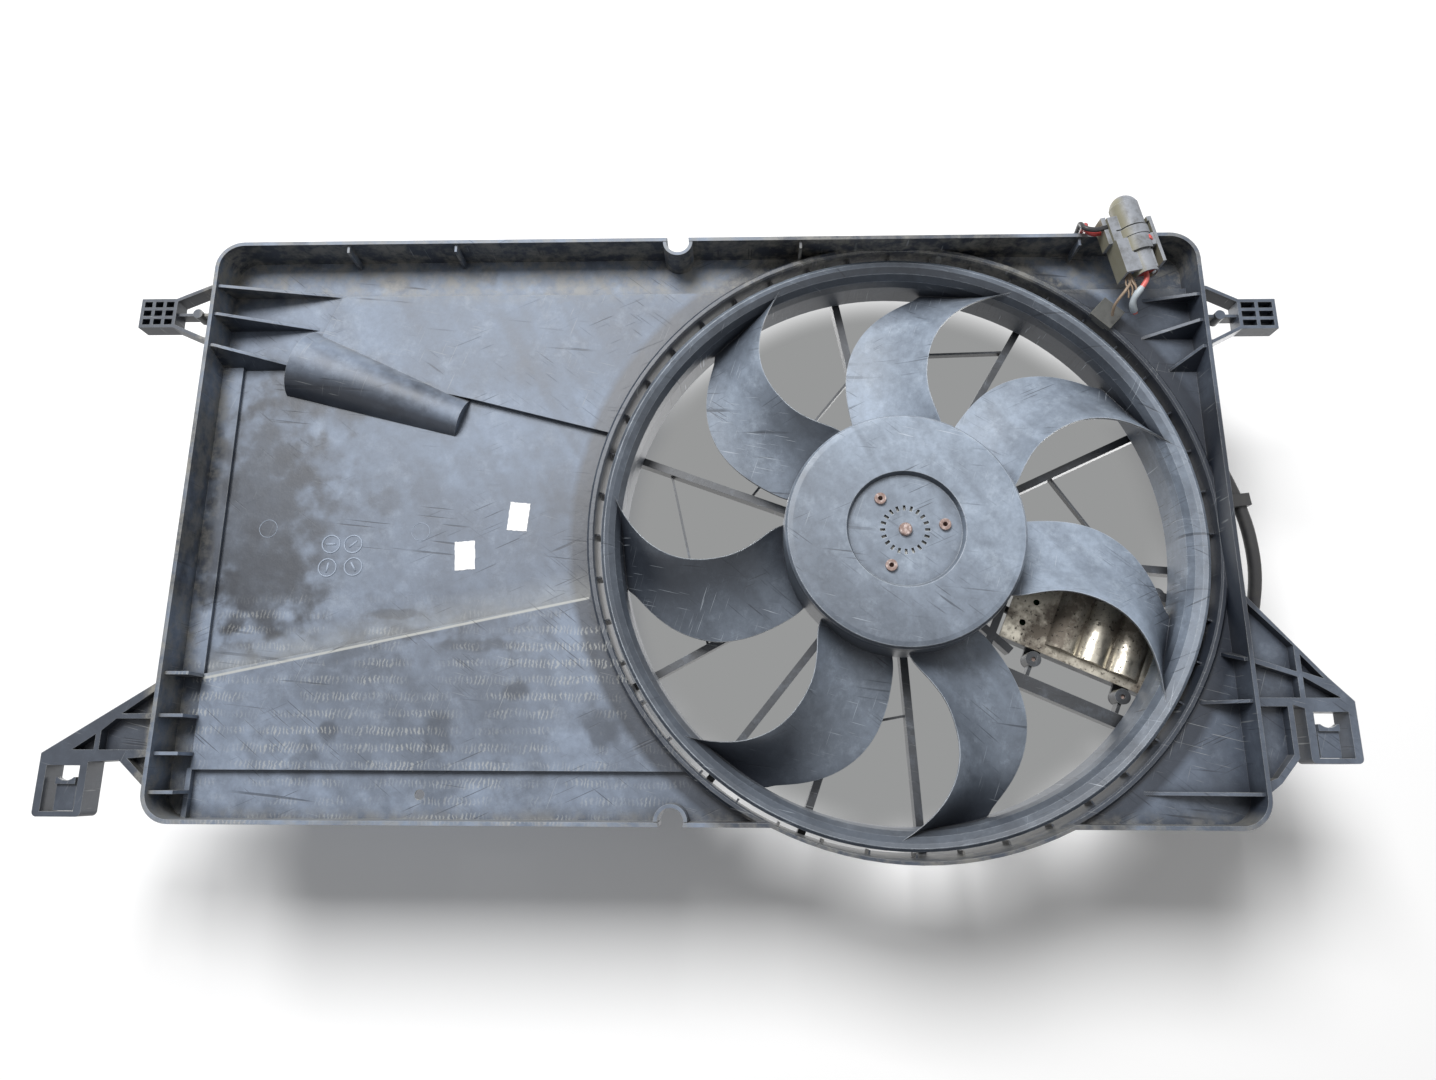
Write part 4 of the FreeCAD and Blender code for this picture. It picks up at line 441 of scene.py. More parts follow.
@dataclass(frozen=True)
class WeatheredPolypropylene(Finish):
    """Glass filled polypropylene, moulded, after years beside an engine.

    The fresh resin is near black. A slate blue bloom lies in clouds and wiped bands on what faces the
    air stream, and is scratched through to the resin. The bloom is left off undersides and creases, so
    that the dark resin there is painted shade, and where its right share is low it fades towards the
    right, which is painted shade of the right side. Pale chalk sits on it in specks, beige dust on what
    faces up, and every proud edge is rubbed pale, partly as wear and partly as a painted highlight.
    Spacings, depths and places are in millimetres.
    """

    bloom: str = "8490a2"
    chalk: str = "9ba6b5"
    dust: str = "8f8c83"
    edge: str = "a6a9aa"
    # bloom shares at the left and right ends of the dark side span; a low right share is painted shade
    # of the right side
    bloom_left: float = 1.0
    bloom_and_shade_right: float = 1.0
    dark_side: tuple[float, float] = (100.0, 190.0)
    cloud_spacing: float = 70.0
    cloud_low: float = 0.6
    wipe: Streak = Streak(58, 95, 20)
    wipe_bend: float = 0.9
    wipe_low: float = 0.75
    mottle_spacing: float = 6.0
    mottle_low: float = 0.78
    wear_spacing: float = 16.0
    # painted shade: the share of bloom left on undersides, whose dark resin stands in for their shade
    underside_shade_share: float = 0.15
    round_fan: float = 0.2
    fan_radius: tuple[float, float] = (166.0, 180.0)
    ring_radius: tuple[float, float] = (206.0, 212.0)
    worn_end: tuple[float, float] = (-452.0, -446.0)
    worn_share: float = 0.2
    crease_width: float = 13.0
    # painted shade: how much bloom creases lose, darkening them where ambient shade falls
    crease_painted_shade: float = 0.85
    chalk_share: float = 0.65
    dark_streaks: tuple[Streak, ...] = (Streak(38, 30, 0.9, 0.68), Streak(-24, 36, 1.0, 0.69),
                                        Streak(6, 70, 2.2, 0.68))
    dark_share: float = 0.6
    pale_streaks: tuple[Streak, ...] = (Streak(14, 26, 0.6, 0.71), Streak(-70, 30, 0.6, 0.72))
    pale_share: float = 0.5
    streak_spacing: float = 55.0
    dust_share: float = 0.5
    edge_share: float = 0.85
    # The moulded grain is about 0.15 mm; it is drawn coarser, or it would be too fine to show
    grain_spacing: float = 0.5
    grain_depth: float = 0.06
    wave_depth: float = 0.3
    score_depth: float = 0.12

    def paint(self, at: Surface) -> dict[str, Any]:
        """Lay bloom, chalk, scratches, dust and edge wear over the dark resin."""
        mottle = at.add("TexNoise", {"Vector": at.spot, "Scale": per_metre(self.mottle_spacing),
                                     "Detail": 5, "Roughness": 0.72})
        worn = at.add("TexNoise", {"Vector": at.spot, "Scale": per_metre(self.wear_spacing),
                                   "Detail": 8, "Roughness": 0.78})
        settled = Ramp(worn, 0.35, 0.6, low=0.35)
        open_air = at.open_air(self.crease_width)
        rounded = self.rounded(at)

        bloom = self.wiped(at, self.bloom_share(at, open_air, mottle))
        chalk = at.faded(bloom, Ramp(worn, 0.52, 0.72, high=self.chalk_share))
        dark_lines = self.scratches(at, self.dark_streaks)
        deep = at.add("Math", {0: dark_lines, 1: self.dark_share}, operation="MULTIPLY")
        pale_lines = self.scratches(at, self.pale_streaks)
        faint = at.add("Math", {0: pale_lines, 1: self.pale_share}, operation="MULTIPLY")
        dusty = at.faded(self.by_fan(at), settled,
                         Ramp(at.facing["Z"], 0.45, 0.9, high=self.dust_share))
        # pale proud edges: partly rubbed wear, partly a painted highlight along them
        rubbed = at.faded(self.edge_share, settled, Ramp(at.flatness(rounded), 0.995, 0.93),
                          Ramp(open_air, 0.5, 0.8))
        base = at.tinted(linear(self.colour), (bloom, self.bloom), (chalk, self.chalk))
        base = at.tinted(self.marks(at, base), (deep, self.colour), (faint, self.edge),
                         (dusty, self.dust), (rubbed, self.edge))

        matt = at.add("MapRange", {"Value": bloom, "From Min": 0.1, "From Max": 0.9,
                                   "To Min": self.roughness - 0.18, "To Max": self.roughness})
        grain = at.add("TexNoise", {"Vector": at.spot, "Scale": per_metre(self.grain_spacing),
                                    "Detail": 2})
        relief = rounded
        for height, depth, strength, sunk in ((grain, self.grain_depth, 0.35, False),
                                              (mottle, self.wave_depth, 0.4, False),
                                              (dark_lines, self.score_depth, 0.5, True)):
            relief = at.add("Bump", {"Height": height, "Distance": depth * MM, "Strength": strength,
                                     "Normal": relief}, invert=sunk)
        return {"Base Color": base, "Roughness": matt, "Normal": relief}

    def bloom_share(self, at: Surface, open_air: Socket, mottle: Node) -> Node:
        """Work out how much bloom covers the resin, with less of it as painted shade on undersides, in
        creases and towards the right.

        Args:
            at: the surface.
            open_air: how open the place is.
            mottle: noise of small patches.

        Returns:
            Share of the bloom, from 0 to 1.
        """
        cloud = at.add("TexNoise", {"Vector": at.spot, "Scale": per_metre(self.cloud_spacing),
                                    "Detail": 6, "Roughness": 0.66})
        return at.faded(
            self.by_fan(at),
            # painted shade: the bloom thins towards the right, darkening that side as its shade does
            Ramp(at.across["X"], *metres(self.dark_side), self.bloom_left, self.bloom_and_shade_right),
            Ramp(at.across["X"], *metres(self.worn_end), self.worn_share),
            # painted shade: undersides keep little bloom, so they render dark as if shaded
            Ramp(at.facing["Z"], -0.55, -0.12, self.underside_shade_share),
            Ramp(cloud, 0.33, 0.6, self.cloud_low),
            Ramp(mottle, 0.3, 0.62, self.mottle_low),
            # painted shade: creases found by ambient occlusion lose their bloom and turn dark
            Ramp(open_air, 0.3, 0.9, 1 - self.crease_painted_shade),
            Ramp(self.laid(at, self.wipe, self.wipe_bend), 0.36, 0.56, self.wipe_low))

    def by_fan(self, at: Surface) -> Node:
        """Work out the share of bloom and dust round the fan: whole near the axis and far out, the
        round share in the band between.
        """
        flat = at.add("VectorMath", {0: at.spot, 1: (1.0, 0.0, 1.0)}, operation="MULTIPLY")
        out = at.add("VectorMath", {0: flat}, operation="LENGTH").outputs["Value"]
        ring = at.faded(1.0, Ramp(out, *metres(self.fan_radius), 1.0, self.round_fan))
        away = at.faded(1.0, Ramp(out, *metres(self.ring_radius)))
        return at.add("Math", {0: ring, 1: away}, operation="MAXIMUM")

    def laid(self, at: Surface, streak: Streak, bent: float = 0.0) -> Node:
        """Stretch a noise along one slope.

        Args:
            at: the surface.
            streak: slope and size of the pattern.
            bent: how far the noise is bent out of its straight run.

        Returns:
            The noise.
        """
        size = metres((streak.length, streak.length, streak.width))
        turn = (0, math.radians(streak.slope), 0)
        drawn = at.add("Mapping", {"Vector": at.spot, "Rotation": turn, "Scale": size},
                       vector_type="TEXTURE")
        return at.add("TexNoise", {"Vector": drawn, "Scale": 1.0, "Detail": 1, "Roughness": 0.5,
                                   "Distortion": bent})

    def scratches(self, at: Surface, streaks: tuple[Streak, ...]) -> Any:
        """Draw thin scratches, each set in its own patches.

        Args:
            at: the surface.
            streaks: sets of scratches.

        Returns:
            Mask of the scratches.
        """
        mask: Any = 0.0
        for streak in streaks:
            patch = at.add("TexNoise", {"Vector": at.spot, "W": streak.slope, "Detail": 2,
                                        "Scale": per_metre(self.streak_spacing)}, noise_dimensions="4D")
            drawn = at.faded(1.0, Ramp(self.laid(at, streak), streak.rare, streak.rare + 0.04),
                             Ramp(patch, 0.5, 0.6))
            mask = at.add("Math", {0: mask, 1: drawn}, operation="MAXIMUM")
        return mask

    def wiped(self, at: Surface, share: Node) -> Node:
        """Thin the bloom where hands or water took it off, and on the fan as a painted sheen; plain
        parts keep it all.
        """
        return share

    def marks(self, at: Surface, colour: Node) -> Node:
        """Add marks of their own place; plain parts have none."""
        return colour


@dataclass(frozen=True)
class WeatheredFan(WeatheredPolypropylene):
    """The fan's resin, whose bloom thins towards the low side: a painted sheen and shade, lighter high
    up and darker low down.
    """

    # painted sheen and shade: the share of bloom left on the low side, and the slope and heights it
    # runs over
    painted_sheen_share: float = 0.42
    painted_sheen_slope: Point = (0.6, 0.0, 0.8)
    painted_sheen_height: tuple[float, float] = (-55.0, 30.0)

    def wiped(self, at: Surface, share: Node) -> Node:
        """Thin the bloom towards the low side of the fan, painting a sheen high up and shade low down.
        """
        high = at.add("VectorMath", {0: at.spot, 1: self.painted_sheen_slope}, operation="DOT_PRODUCT")
        return at.faded(share, Ramp(high.outputs["Value"], *metres(self.painted_sheen_height), self.painted_sheen_share))


@dataclass(frozen=True)
class WeatheredShroud(WeatheredPolypropylene):
    """The same resin on the big box, with the dirt that each of its fields has collected and a painted
    highlight along the crease of its floor.
    """

    smudges: tuple[Smudge, ...] = ()
    shore_spacing: float = 14.0
    wander_spacing: float = 11.0
    wander_reach: float = 9.0
    fin_spacing: float = 2.5
    row_spacing: float = 10.2
    patch_spacing: float = 38.0
    stroke_height: tuple[float, float] = (-30.0, -65.0)
    stroke_left: tuple[float, float] = (-130.0, -160.0)
    stroke_wall: tuple[float, float] = (-442.0, -438.0)
    stroke_share: float = 0.42
    stroke_and_highlight_colour: str = "b9bab5"
    crease_end: tuple[float, float] = (-195.0, -40.5)
    crease_slope: float = 0.211
    crease_reach: float = 237.0
    crease_half: tuple[float, float] = (1.1, 0.5)
    crease_share: float = 0.75
    powder_height: float = 22.0
    powder_foot: float = -1.2
    powder_share: float = 0.5
    floor_end: tuple[float, float] = (-458.5, -454.5)
    dust_zones: tuple[DustZone, ...] = (DustZone("Z", 158, 172, 0.55), DustZone("X", -436, -450, 0.7),
                                        DustZone("Z", -165, -176, 0.5))

    def wiped(self, at: Surface, share: Node) -> Node:
        """Take the bloom off in the smudges.

        Args:
            at: the surface.
            share: how much bloom lies there.

        Returns:
            How much bloom is left.
        """
        shore = at.add("TexNoise", {"Vector": at.spot, "Scale": per_metre(self.shore_spacing),
                                    "Detail": 3})
        lap = at.add("MapRange", {"Value": shore, "From Min": 0.3, "From Max": 0.7,
                                  "To Min": -0.4, "To Max": 0.4})
        front = at.faded(1.0, self.front_side(at))
        for smudge in self.smudges:
            spread = (1 / (smudge.width * MM), 0.0, 1 / (smudge.height * MM))
            shift = (-smudge.x * MM * spread[0], 0.0, -smudge.z * MM * spread[2])
            laid = at.add("VectorMath", {0: at.spot, 1: spread, 2: shift}, operation="MULTIPLY_ADD")
            far = at.add("VectorMath", {0: laid}, operation="LENGTH")
            ragged = at.add("Math", {0: far.outputs["Value"], 1: lap})
            gone = at.add("MapRange", {"Value": ragged, "From Min": 0.5, "From Max": 1.2,
                                       "To Min": smudge.strength, "To Max": 0.0},
                          interpolation_type="SMOOTHSTEP")
            gone = at.add("Math", {0: gone, 1: front}, operation="MULTIPLY")
            left = at.add("Math", {0: 1.0, 1: gone}, operation="SUBTRACT")
            share = at.add("Math", {0: share, 1: left}, operation="MULTIPLY")
        return share

    def front_side(self, at: Surface) -> Ramp:
        """Tell the side that faced the radiator, 1, from the engine side, 0."""
        return Ramp(at.facing["Y"], 0.2, -0.2)

    def marks(self, at: Surface, colour: Node) -> Node:
        """Add the strokes that the fins left, the worn crease with its painted highlight, and the beige
        dust by the walls.

        Args:
            at: the surface.
            colour: colour so far.

        Returns:
            Colour with the marks.
        """
        wander = at.add("TexNoise", {"Vector": at.spot, "Scale": per_metre(self.wander_spacing),
                                     "Detail": 4, "Roughness": 0.7})
        layers = [(self.strokes(at, wander), self.stroke_and_highlight_colour),
                  (self.crease(at, wander), self.stroke_and_highlight_colour)]
        for zone in self.dust_zones:
            strip = at.faded(zone.strength, Ramp(wander, 0.42, 0.62),
                             Ramp(at.across[zone.axis], *metres((zone.start, zone.end))),
                             Ramp(at.across["X"], *metres(self.floor_end)))
            layers.append((strip, self.dust))
        return at.tinted(colour, *layers)

    def strokes(self, at: Surface, wander: Node) -> Node:
        """Draw rows of short strokes low on the left field.

        Args:
            at: the surface.
            wander: noise that bends the rows.

        Returns:
            Share of the strokes.
        """
        x, z = at.across["X"], at.across["Z"]
        drift = at.add("Math", {0: wander, 1: self.wander_reach * MM}, operation="MULTIPLY")
        patches = at.add("TexNoise", {"Vector": at.spot, "Scale": per_metre(self.patch_spacing),
                                      "Detail": 3, "Roughness": 0.6})
        share = at.faded(self.stroke_share, self.front_side(at), Ramp(patches, 0.42, 0.6),
                         Ramp(z, *metres(self.stroke_height)), Ramp(x, *metres(self.stroke_left)),
                         Ramp(x, *metres(self.stroke_wall)))
        for value, spacing, start, end in ((x, self.fin_spacing, 0.26, 0.4),
                                           (z, self.row_spacing, 0.22, 0.34)):
            wave = at.add("Math", {0: value, 1: drift})
            wave = at.add("Math", {0: wave, 1: per_metre(spacing)}, operation="MULTIPLY")
            wave = at.add("Math", {0: wave, 1: 0.5}, operation="PINGPONG")
            share = at.faded(share, Ramp(wave, start, end))
        return share

    def crease(self, at: Surface, wander: Node) -> Node:
        """Rub the long crease of the floor pale, partly as wear and partly as a painted highlight on
        its up-facing edge, and powder the slope above it.

        Args:
            at: the surface.
            wander: noise that breaks the powder up.

        Returns:
            Share of the rubbed line and the powder.
        """
        x, z = at.across["X"], at.across["Z"]
        first, height = self.crease_end
        last = first - self.crease_reach
        foot = (self.crease_slope * first - height) * MM
        above = at.add("Math", {0: x, 1: -self.crease_slope, 2: foot}, operation="MULTIPLY_ADD")
        above = at.add("Math", {0: z, 1: above})
        off = at.add("Math", {0: above}, operation="ABSOLUTE")
        # pale line along the crease: partly rubbed wear, partly a painted highlight on its up-facing
        # edge
        line = at.faded(self.crease_share, Ramp(off, *metres(self.crease_half)))
        powder = at.faded(wander, Ramp(above, self.powder_height * MM, 0.0, high=self.powder_share),
                          Ramp(above, self.powder_foot * MM, 0.0))
        share = at.add("Math", {0: line, 1: powder}, operation="MAXIMUM")
        return at.faded(share, self.front_side(at), Ramp(x, *metres((first, first - 1))),
                        Ramp(x, *metres((last - 1, last))))


@dataclass(frozen=True)
class MouldedPolymer(Finish):
    """A small moulded or extruded plastic or rubber piece with a faint grain and rubbed edges."""

    soil: str = "3a3835"
    soil_share: float = 0.4
    patch_spacing: float = 6.0
    edge: str = ""
    edge_share: float = 0.7
    sunned: str = ""
    sun_share: float = 0.85
    crease_width: float = 6.0
    # A fine mould or extrusion grain of less than 0.1 mm is drawn coarser, or it would never show
    grain_spacing: float = 0.3
    grain_depth: float = 0.04

    def paint(self, at: Surface) -> dict[str, Any]:
        """Vary the colour with grime, and roughen the skin a little."""
        patches = at.add("TexNoise", {"Vector": at.spot, "Scale": per_metre(self.patch_spacing),
                                      "Detail": 6, "Roughness": 0.7})
        dirty = at.faded(self.soil_share, Ramp(patches, 0.45, 0.7))
        hidden = at.faded(self.soil_share, Ramp(at.open_air(self.crease_width), 0.75, 0.3))
        layers = [(at.add("Math", {0: dirty, 1: hidden}, operation="MAXIMUM"), self.soil)]
        if self.sunned:
            layers.append((at.faded(self.sun_share, Ramp(at.facing["X"], -0.3, -0.7)), self.sunned))
        rounded = self.rounded(at)
        if self.edge:
            layers.append((at.faded(self.edge_share, Ramp(at.flatness(rounded), 0.99, 0.9)), self.edge))
        matt = at.add("MapRange", {"Value": patches, "From Min": 0.3, "From Max": 0.7,
                                   "To Min": self.roughness - 0.08, "To Max": self.roughness + 0.1})
        fine = at.add("TexNoise", {"Vector": at.spot, "Scale": per_metre(self.grain_spacing),
                                   "Detail": 2})
        relief = at.add("Bump", {"Height": fine, "Distance": self.grain_depth * MM, "Strength": 0.4,
                                 "Normal": rounded})
        colour = at.tinted(linear(self.colour), *layers)
        return {"Base Color": colour, "Roughness": matt, "Normal": relief}


@dataclass(frozen=True)
class WornMetal(Finish):
    """Bare, plated or rusted metal, whose film or rust grows in patches and loses its shine there."""

    tarnish: str = "6b5a48"
    tarnish_share: float = 0.6
    patch_spacing: float = 9.0
    threshold: float = 0.5
    fleck: str = "4a3a30"
    fleck_spacing: float = 2.2
    fleck_share: float = 0.5
    crease_width: float = 8.0
    film_depth: float = 0.08
    stretch: Lie = Lie.ANY

    def paint(self, at: Surface) -> dict[str, Any]:
        """Lay tarnish and flecks over the metal, and let both take its shine."""
        spot = at.add("Mapping", {"Vector": at.spot, "Scale": self.stretch.value})
        patches = at.add("TexNoise", {"Vector": spot, "Scale": per_metre(self.patch_spacing),
                                      "Detail": 8, "Roughness": 0.68})
        dots = at.add("TexNoise", {"Vector": spot, "Scale": per_metre(self.fleck_spacing),
                                   "Detail": 5, "Roughness": 0.6})
        film = at.faded(self.tarnish_share, Ramp(patches, self.threshold - 0.08, self.threshold + 0.1))
        crease = at.faded(self.tarnish_share, Ramp(at.open_air(self.crease_width), 0.8, 0.35))
        film = at.add("Math", {0: film, 1: crease}, operation="MAXIMUM")
        flecks = at.faded(self.fleck_share, Ramp(dots, 0.58, 0.66))
        dull = at.add("Math", {0: film, 1: flecks}, operation="MAXIMUM")
        shine = at.add("MapRange", {"Value": dull, "To Min": self.metallic,
                                    "To Max": self.metallic * 0.25})
        matt = at.add("MapRange", {"Value": dull, "To Min": self.roughness,
                                   "To Max": min(0.85, self.roughness + 0.4)})
        relief = at.add("Bump", {"Height": dull, "Distance": self.film_depth * MM, "Strength": 0.5,
                                 "Normal": self.rounded(at)})
        colour = at.tinted(linear(self.colour), (film, self.tarnish), (flecks, self.fleck))
        return {"Base Color": colour, "Metallic": shine, "Roughness": matt, "Normal": relief}


# Moulded, glass filled polypropylene: slate bloom on the left fields, less on the right ones, whose
# darker tone is partly painted shade
SHROUD_RESIN = WeatheredShroud(
    name="weathered_shroud_polypropylene", colour="161b25", roughness=0.6, bloom_and_shade_right=0.42,
    smudges=(
        Smudge(-412, 14, 44, 84, 0.66), Smudge(-404, 0, 60, 60, 0.3),
        Smudge(-275, -6, 150, 66, 0.26), Smudge(-350, 92, 70, 12, 0.4),
        Smudge(-372, 96, 64, 24, 0.42), Smudge(-310, -110, 170, 56, 0.26),
        Smudge(-426, -30, 8, 12, 0.55), Smudge(-418, -55, 7, 9, 0.55), Smudge(-431, 30, 6, 10, 0.5),
        Smudge(-384, -58, 9, 7, 0.45), Smudge(-330, 24, 12, 8, 0.35), Smudge(-214, 20, 14, 10, 0.3),
        Smudge(-300, -62, 26, 5, 0.5), Smudge(-262, -70, 30, 4, 0.45),
        Smudge(-318, -50, 18, 3, 0.5), Smudge(-376, 49, 22, 20, 0.35),
        Smudge(-402, -33, 34, 36, 0.5), Smudge(-444, 63, 8, 12, 0.6), Smudge(-444, 41, 6, 6, 0.7),
        Smudge(-443, 20, 4, 6, 0.6), Smudge(-445, 114, 5, 6, 0.5), Smudge(-444, -11, 7, 17, 0.7),
        Smudge(-351, -122, 6, 8, 0.6), Smudge(-365, -139, 12, 13, 0.4),
        Smudge(-284, -125, 12, 15, 0.5), Smudge(-238, -97, 9, 8, 0.6),
        Smudge(-187, -121, 10, 15, 0.5), Smudge(-332, -80, 22, 14, 0.35),
        Smudge(-394, 192, 10, 6, 0.5), Smudge(-274, 183, 8, 7, 0.5), Smudge(-334, 177, 12, 6, 0.5),
        Smudge(-244, 110, 10, 12, 0.3)))
# The same resin on the low mould marks of the floor, rubbed pale because they stand proud
MARK_RESIN = MouldedPolymer(name="rubbed_mould_mark_polypropylene", colour="9da8b8", roughness=0.6,
                            soil="737d8c", soil_share=0.3)
# The same resin behind the fan, where little air wears it: nearly black with dusty upper faces
CARRIER_RESIN = WeatheredPolypropylene(
    name="weathered_carrier_polypropylene", colour="161719", roughness=0.56, bloom="5c6067",
    bloom_left=0.5, bloom_and_shade_right=0.5, dust="9a957f", dust_share=0.9)
# Glass filled polyamide of the fan: a matt slate blue bloom, scuffed where air meets it; it thins
# towards the low side as a painted sheen and shade, and its pale rubbed edges are partly a painted
# highlight along the hub's rim
FAN_RESIN = WeatheredFan(
    name="weathered_fan_polyamide", colour="1b1f27", roughness=0.58, bloom="a1aebf", chalk="b8c4d2",
    edge="cbd3dc", edge_radius=0.9,
    cloud_spacing=90, cloud_low=0.62, wipe_low=0.78, mottle_low=0.72, dust_share=0.15, crease_painted_shade=0.95,
    underside_shade_share=0.2, round_fan=0.55, fan_radius=(150.0, 164.0))
# Zinc plated deep drawn steel: dull silver with a grey film and brown freckles of rust
ZINC_STEEL = WornMetal(name="zinc_plated_steel", colour="a6a7a4", roughness=0.38, metallic=1.0,
                       tarnish="6f6f6b", fleck="6a4a35", threshold=0.48)
# Unplated fastener steel, rusted evenly to a pinkish brown with paler rubbed spots
RUSTED_STEEL = WornMetal(name="rusted_fastener_steel", colour="b9aca8", roughness=0.5, metallic=0.6,
                         tarnish="8c746c", tarnish_share=0.85, patch_spacing=3.0, threshold=0.44,
                         fleck="4c342b", fleck_spacing=1.0)
# Ground and hardened bearing steel: clean, bright and smooth
BEARING_STEEL = WornMetal(name="ground_bearing_steel", colour="c3c3c0", roughness=0.22, metallic=1.0,
                          tarnish="8d8b85", tarnish_share=0.25, fleck_share=0.15)
# Pressed and sintered ferrite: charcoal grey with a dry mineral skin
FERRITE = MouldedPolymer(name="sintered_ferrite", colour="3b3b3d", roughness=0.7,
                         soil="262628", ior=2.2)
# Stacked electrical sheet: grey steel with the burnt oil film of the annealing oven
CORE_STEEL = WornMetal(name="stacked_electrical_steel", colour="7d7c78", roughness=0.42, metallic=1.0,
                       tarnish="4a4845", patch_spacing=1.2, stretch=Lie.LEVEL)
# Enamelled copper wire and bare copper bars: warm orange, darkened where it ran hot
COPPER = WornMetal(name="enamelled_copper", colour="c27748", roughness=0.3, metallic=1.0,
                   tarnish="7a4526", patch_spacing=1.1, fleck_share=0.2)
# Pressed graphite: soft black with a faint metallic sheen
GRAPHITE = MouldedPolymer(name="pressed_graphite", colour="2c2c2e", roughness=0.45, soil="1b1b1c",
                          ior=1.8)
# Drawn spring steel wire: grey and oil bright
SPRING_STEEL = WornMetal(name="drawn_spring_steel", colour="8f8f8d", roughness=0.28, metallic=1.0,
                         tarnish="5d5b57", fleck_share=0.2)
# Moulded phenolic of the brush card: brown, hard and slightly glossy
CARD_PHENOLIC = MouldedPolymer(name="moulded_phenolic", colour="4a3527", roughness=0.4, soil="241c17")
# Moulded polyamide box of the control module: black, satin, greasy in the corners
MODULE_POLYAMIDE = MouldedPolymer(name="moulded_module_polyamide", colour="2e3034", roughness=0.5,
                                  soil="17171a", edge="6d7077")
# Pressed bare aluminium: silver under a thin gold brown film, with dark specks of road dirt
COVER_ALUMINIUM = WornMetal(name="pressed_aluminium", colour="c2bdb0", roughness=0.32, metallic=1.0,
                            tarnish="54493f", tarnish_share=0.85, patch_spacing=24, threshold=0.5,
                            fleck="2a2420", fleck_spacing=2.2, fleck_share=0.9)
# Glass epoxy laminate under green solder resist
BOARD_LAMINATE = MouldedPolymer(name="glass_epoxy_laminate", colour="2f5a3a", roughness=0.35,
                                soil="24442d")
# Transfer moulded epoxy of the transistors: flat black with a fine sandy skin
CHIP_EPOXY = MouldedPolymer(name="moulded_chip_epoxy", colour="222225", roughness=0.6, soil="151517")
# Drawn aluminium can of the capacitor
CAPACITOR_CAN = WornMetal(name="drawn_capacitor_can", colour="c5c6c8", roughness=0.3, metallic=1.0,
                          tarnish="8b8b89", tarnish_share=0.3, fleck_share=0.1)
# Moulded polyester of the connector: warm grey, matt, yellowed on the faces that met the sun
CONNECTOR_POLYESTER = MouldedPolymer(name="moulded_connector_polyester", colour="8d9198",
                                     roughness=0.55,
                                     soil="4e4d48", soil_share=0.75, edge="b4b8bc", patch_spacing=9,
                                     sunned="8c8872")
# Stamped and tinned brass of the terminals
TERMINAL_BRASS = WornMetal(name="stamped_brass", colour="c9a560", roughness=0.3, metallic=1.0,
                           tarnish="8a6c3a", fleck_share=0.2)
# Moulded silicone rubber: dark red main seal and pale blue side seal, both dull and soft
RED_SILICONE = MouldedPolymer(name="moulded_red_silicone", colour="8e2e2a", roughness=0.55,
                              soil="4a1a18")
BLUE_SILICONE = MouldedPolymer(name="moulded_blue_silicone", colour="8fa9cf", roughness=0.5,
                               soil="50617c")
# Moulded black rubber of the grommet: soft, greyed by ozone
BLACK_RUBBER = MouldedPolymer(name="moulded_black_rubber", colour="232325", roughness=0.7,
                              soil="3a3a3a")
# Extruded and slit polyamide sleeve of the loom: dull black
LOOM_SLEEVE = MouldedPolymer(name="extruded_loom_sleeve", colour="29292b", roughness=0.55,
                             soil="45443f")
# Extruded vinyl insulation of the wires
RED_VINYL = MouldedPolymer(name="extruded_red_vinyl", colour="b03a38", roughness=0.42, soil="6d2b29")
BLACK_VINYL = MouldedPolymer(name="extruded_black_vinyl", colour="232326", roughness=0.42,
                             soil="3b3a38")
PINK_VINYL = MouldedPolymer(name="extruded_pink_vinyl", colour="dc6f68", roughness=0.42, soil="a04642",
                            soil_share=0.25)
TAN_VINYL = MouldedPolymer(name="extruded_tan_vinyl", colour="a08c78", roughness=0.5, soil="5c4d40")
# Moulded polyamide of the harness anchor: dark grey with worn beige edges
ANCHOR_POLYAMIDE = MouldedPolymer(name="moulded_anchor_polyamide", colour="4f504e", roughness=0.6,
                                  soil="2c2b29", edge="a09c86")
# Shrunk polyolefin sleeve: pale grey and glossy, tight over the cut strands
SHRINK_SLEEVE = MouldedPolymer(name="shrunk_polyolefin_sleeve", colour="b9c2c8", roughness=0.35,
                               soil="7f878c", soil_share=0.3)
# Bare stranded copper: pinkish where the cutter left fresh metal
CUT_COPPER = WornMetal(name="cut_stranded_copper", colour="d8a48c", roughness=0.35, metallic=0.9,
                       tarnish="7c4b38", patch_spacing=1.0, tarnish_share=0.5, fleck_share=0.3)
# Coated label paper, blank: white, matt, soiled a little at its torn edges
LABEL_PAPER = MouldedPolymer(name="coated_label_paper", colour="fafafb", roughness=0.7, soil="c9c9c6",
                             soil_share=0.12, patch_spacing=5, ior=1.4)
# Moulded translucent red lock of the connector
RED_LOCK = MouldedPolymer(name="moulded_red_lock", colour="d0504a", roughness=0.35, soil="8a2f2c",
                          soil_share=0.3)


@dataclass(frozen=True)
class Lamp:
    """One square soft lamp: its place and the side of its face in metres, and its power in watts."""

    name: str
    place: Point
    side: float
    power: float


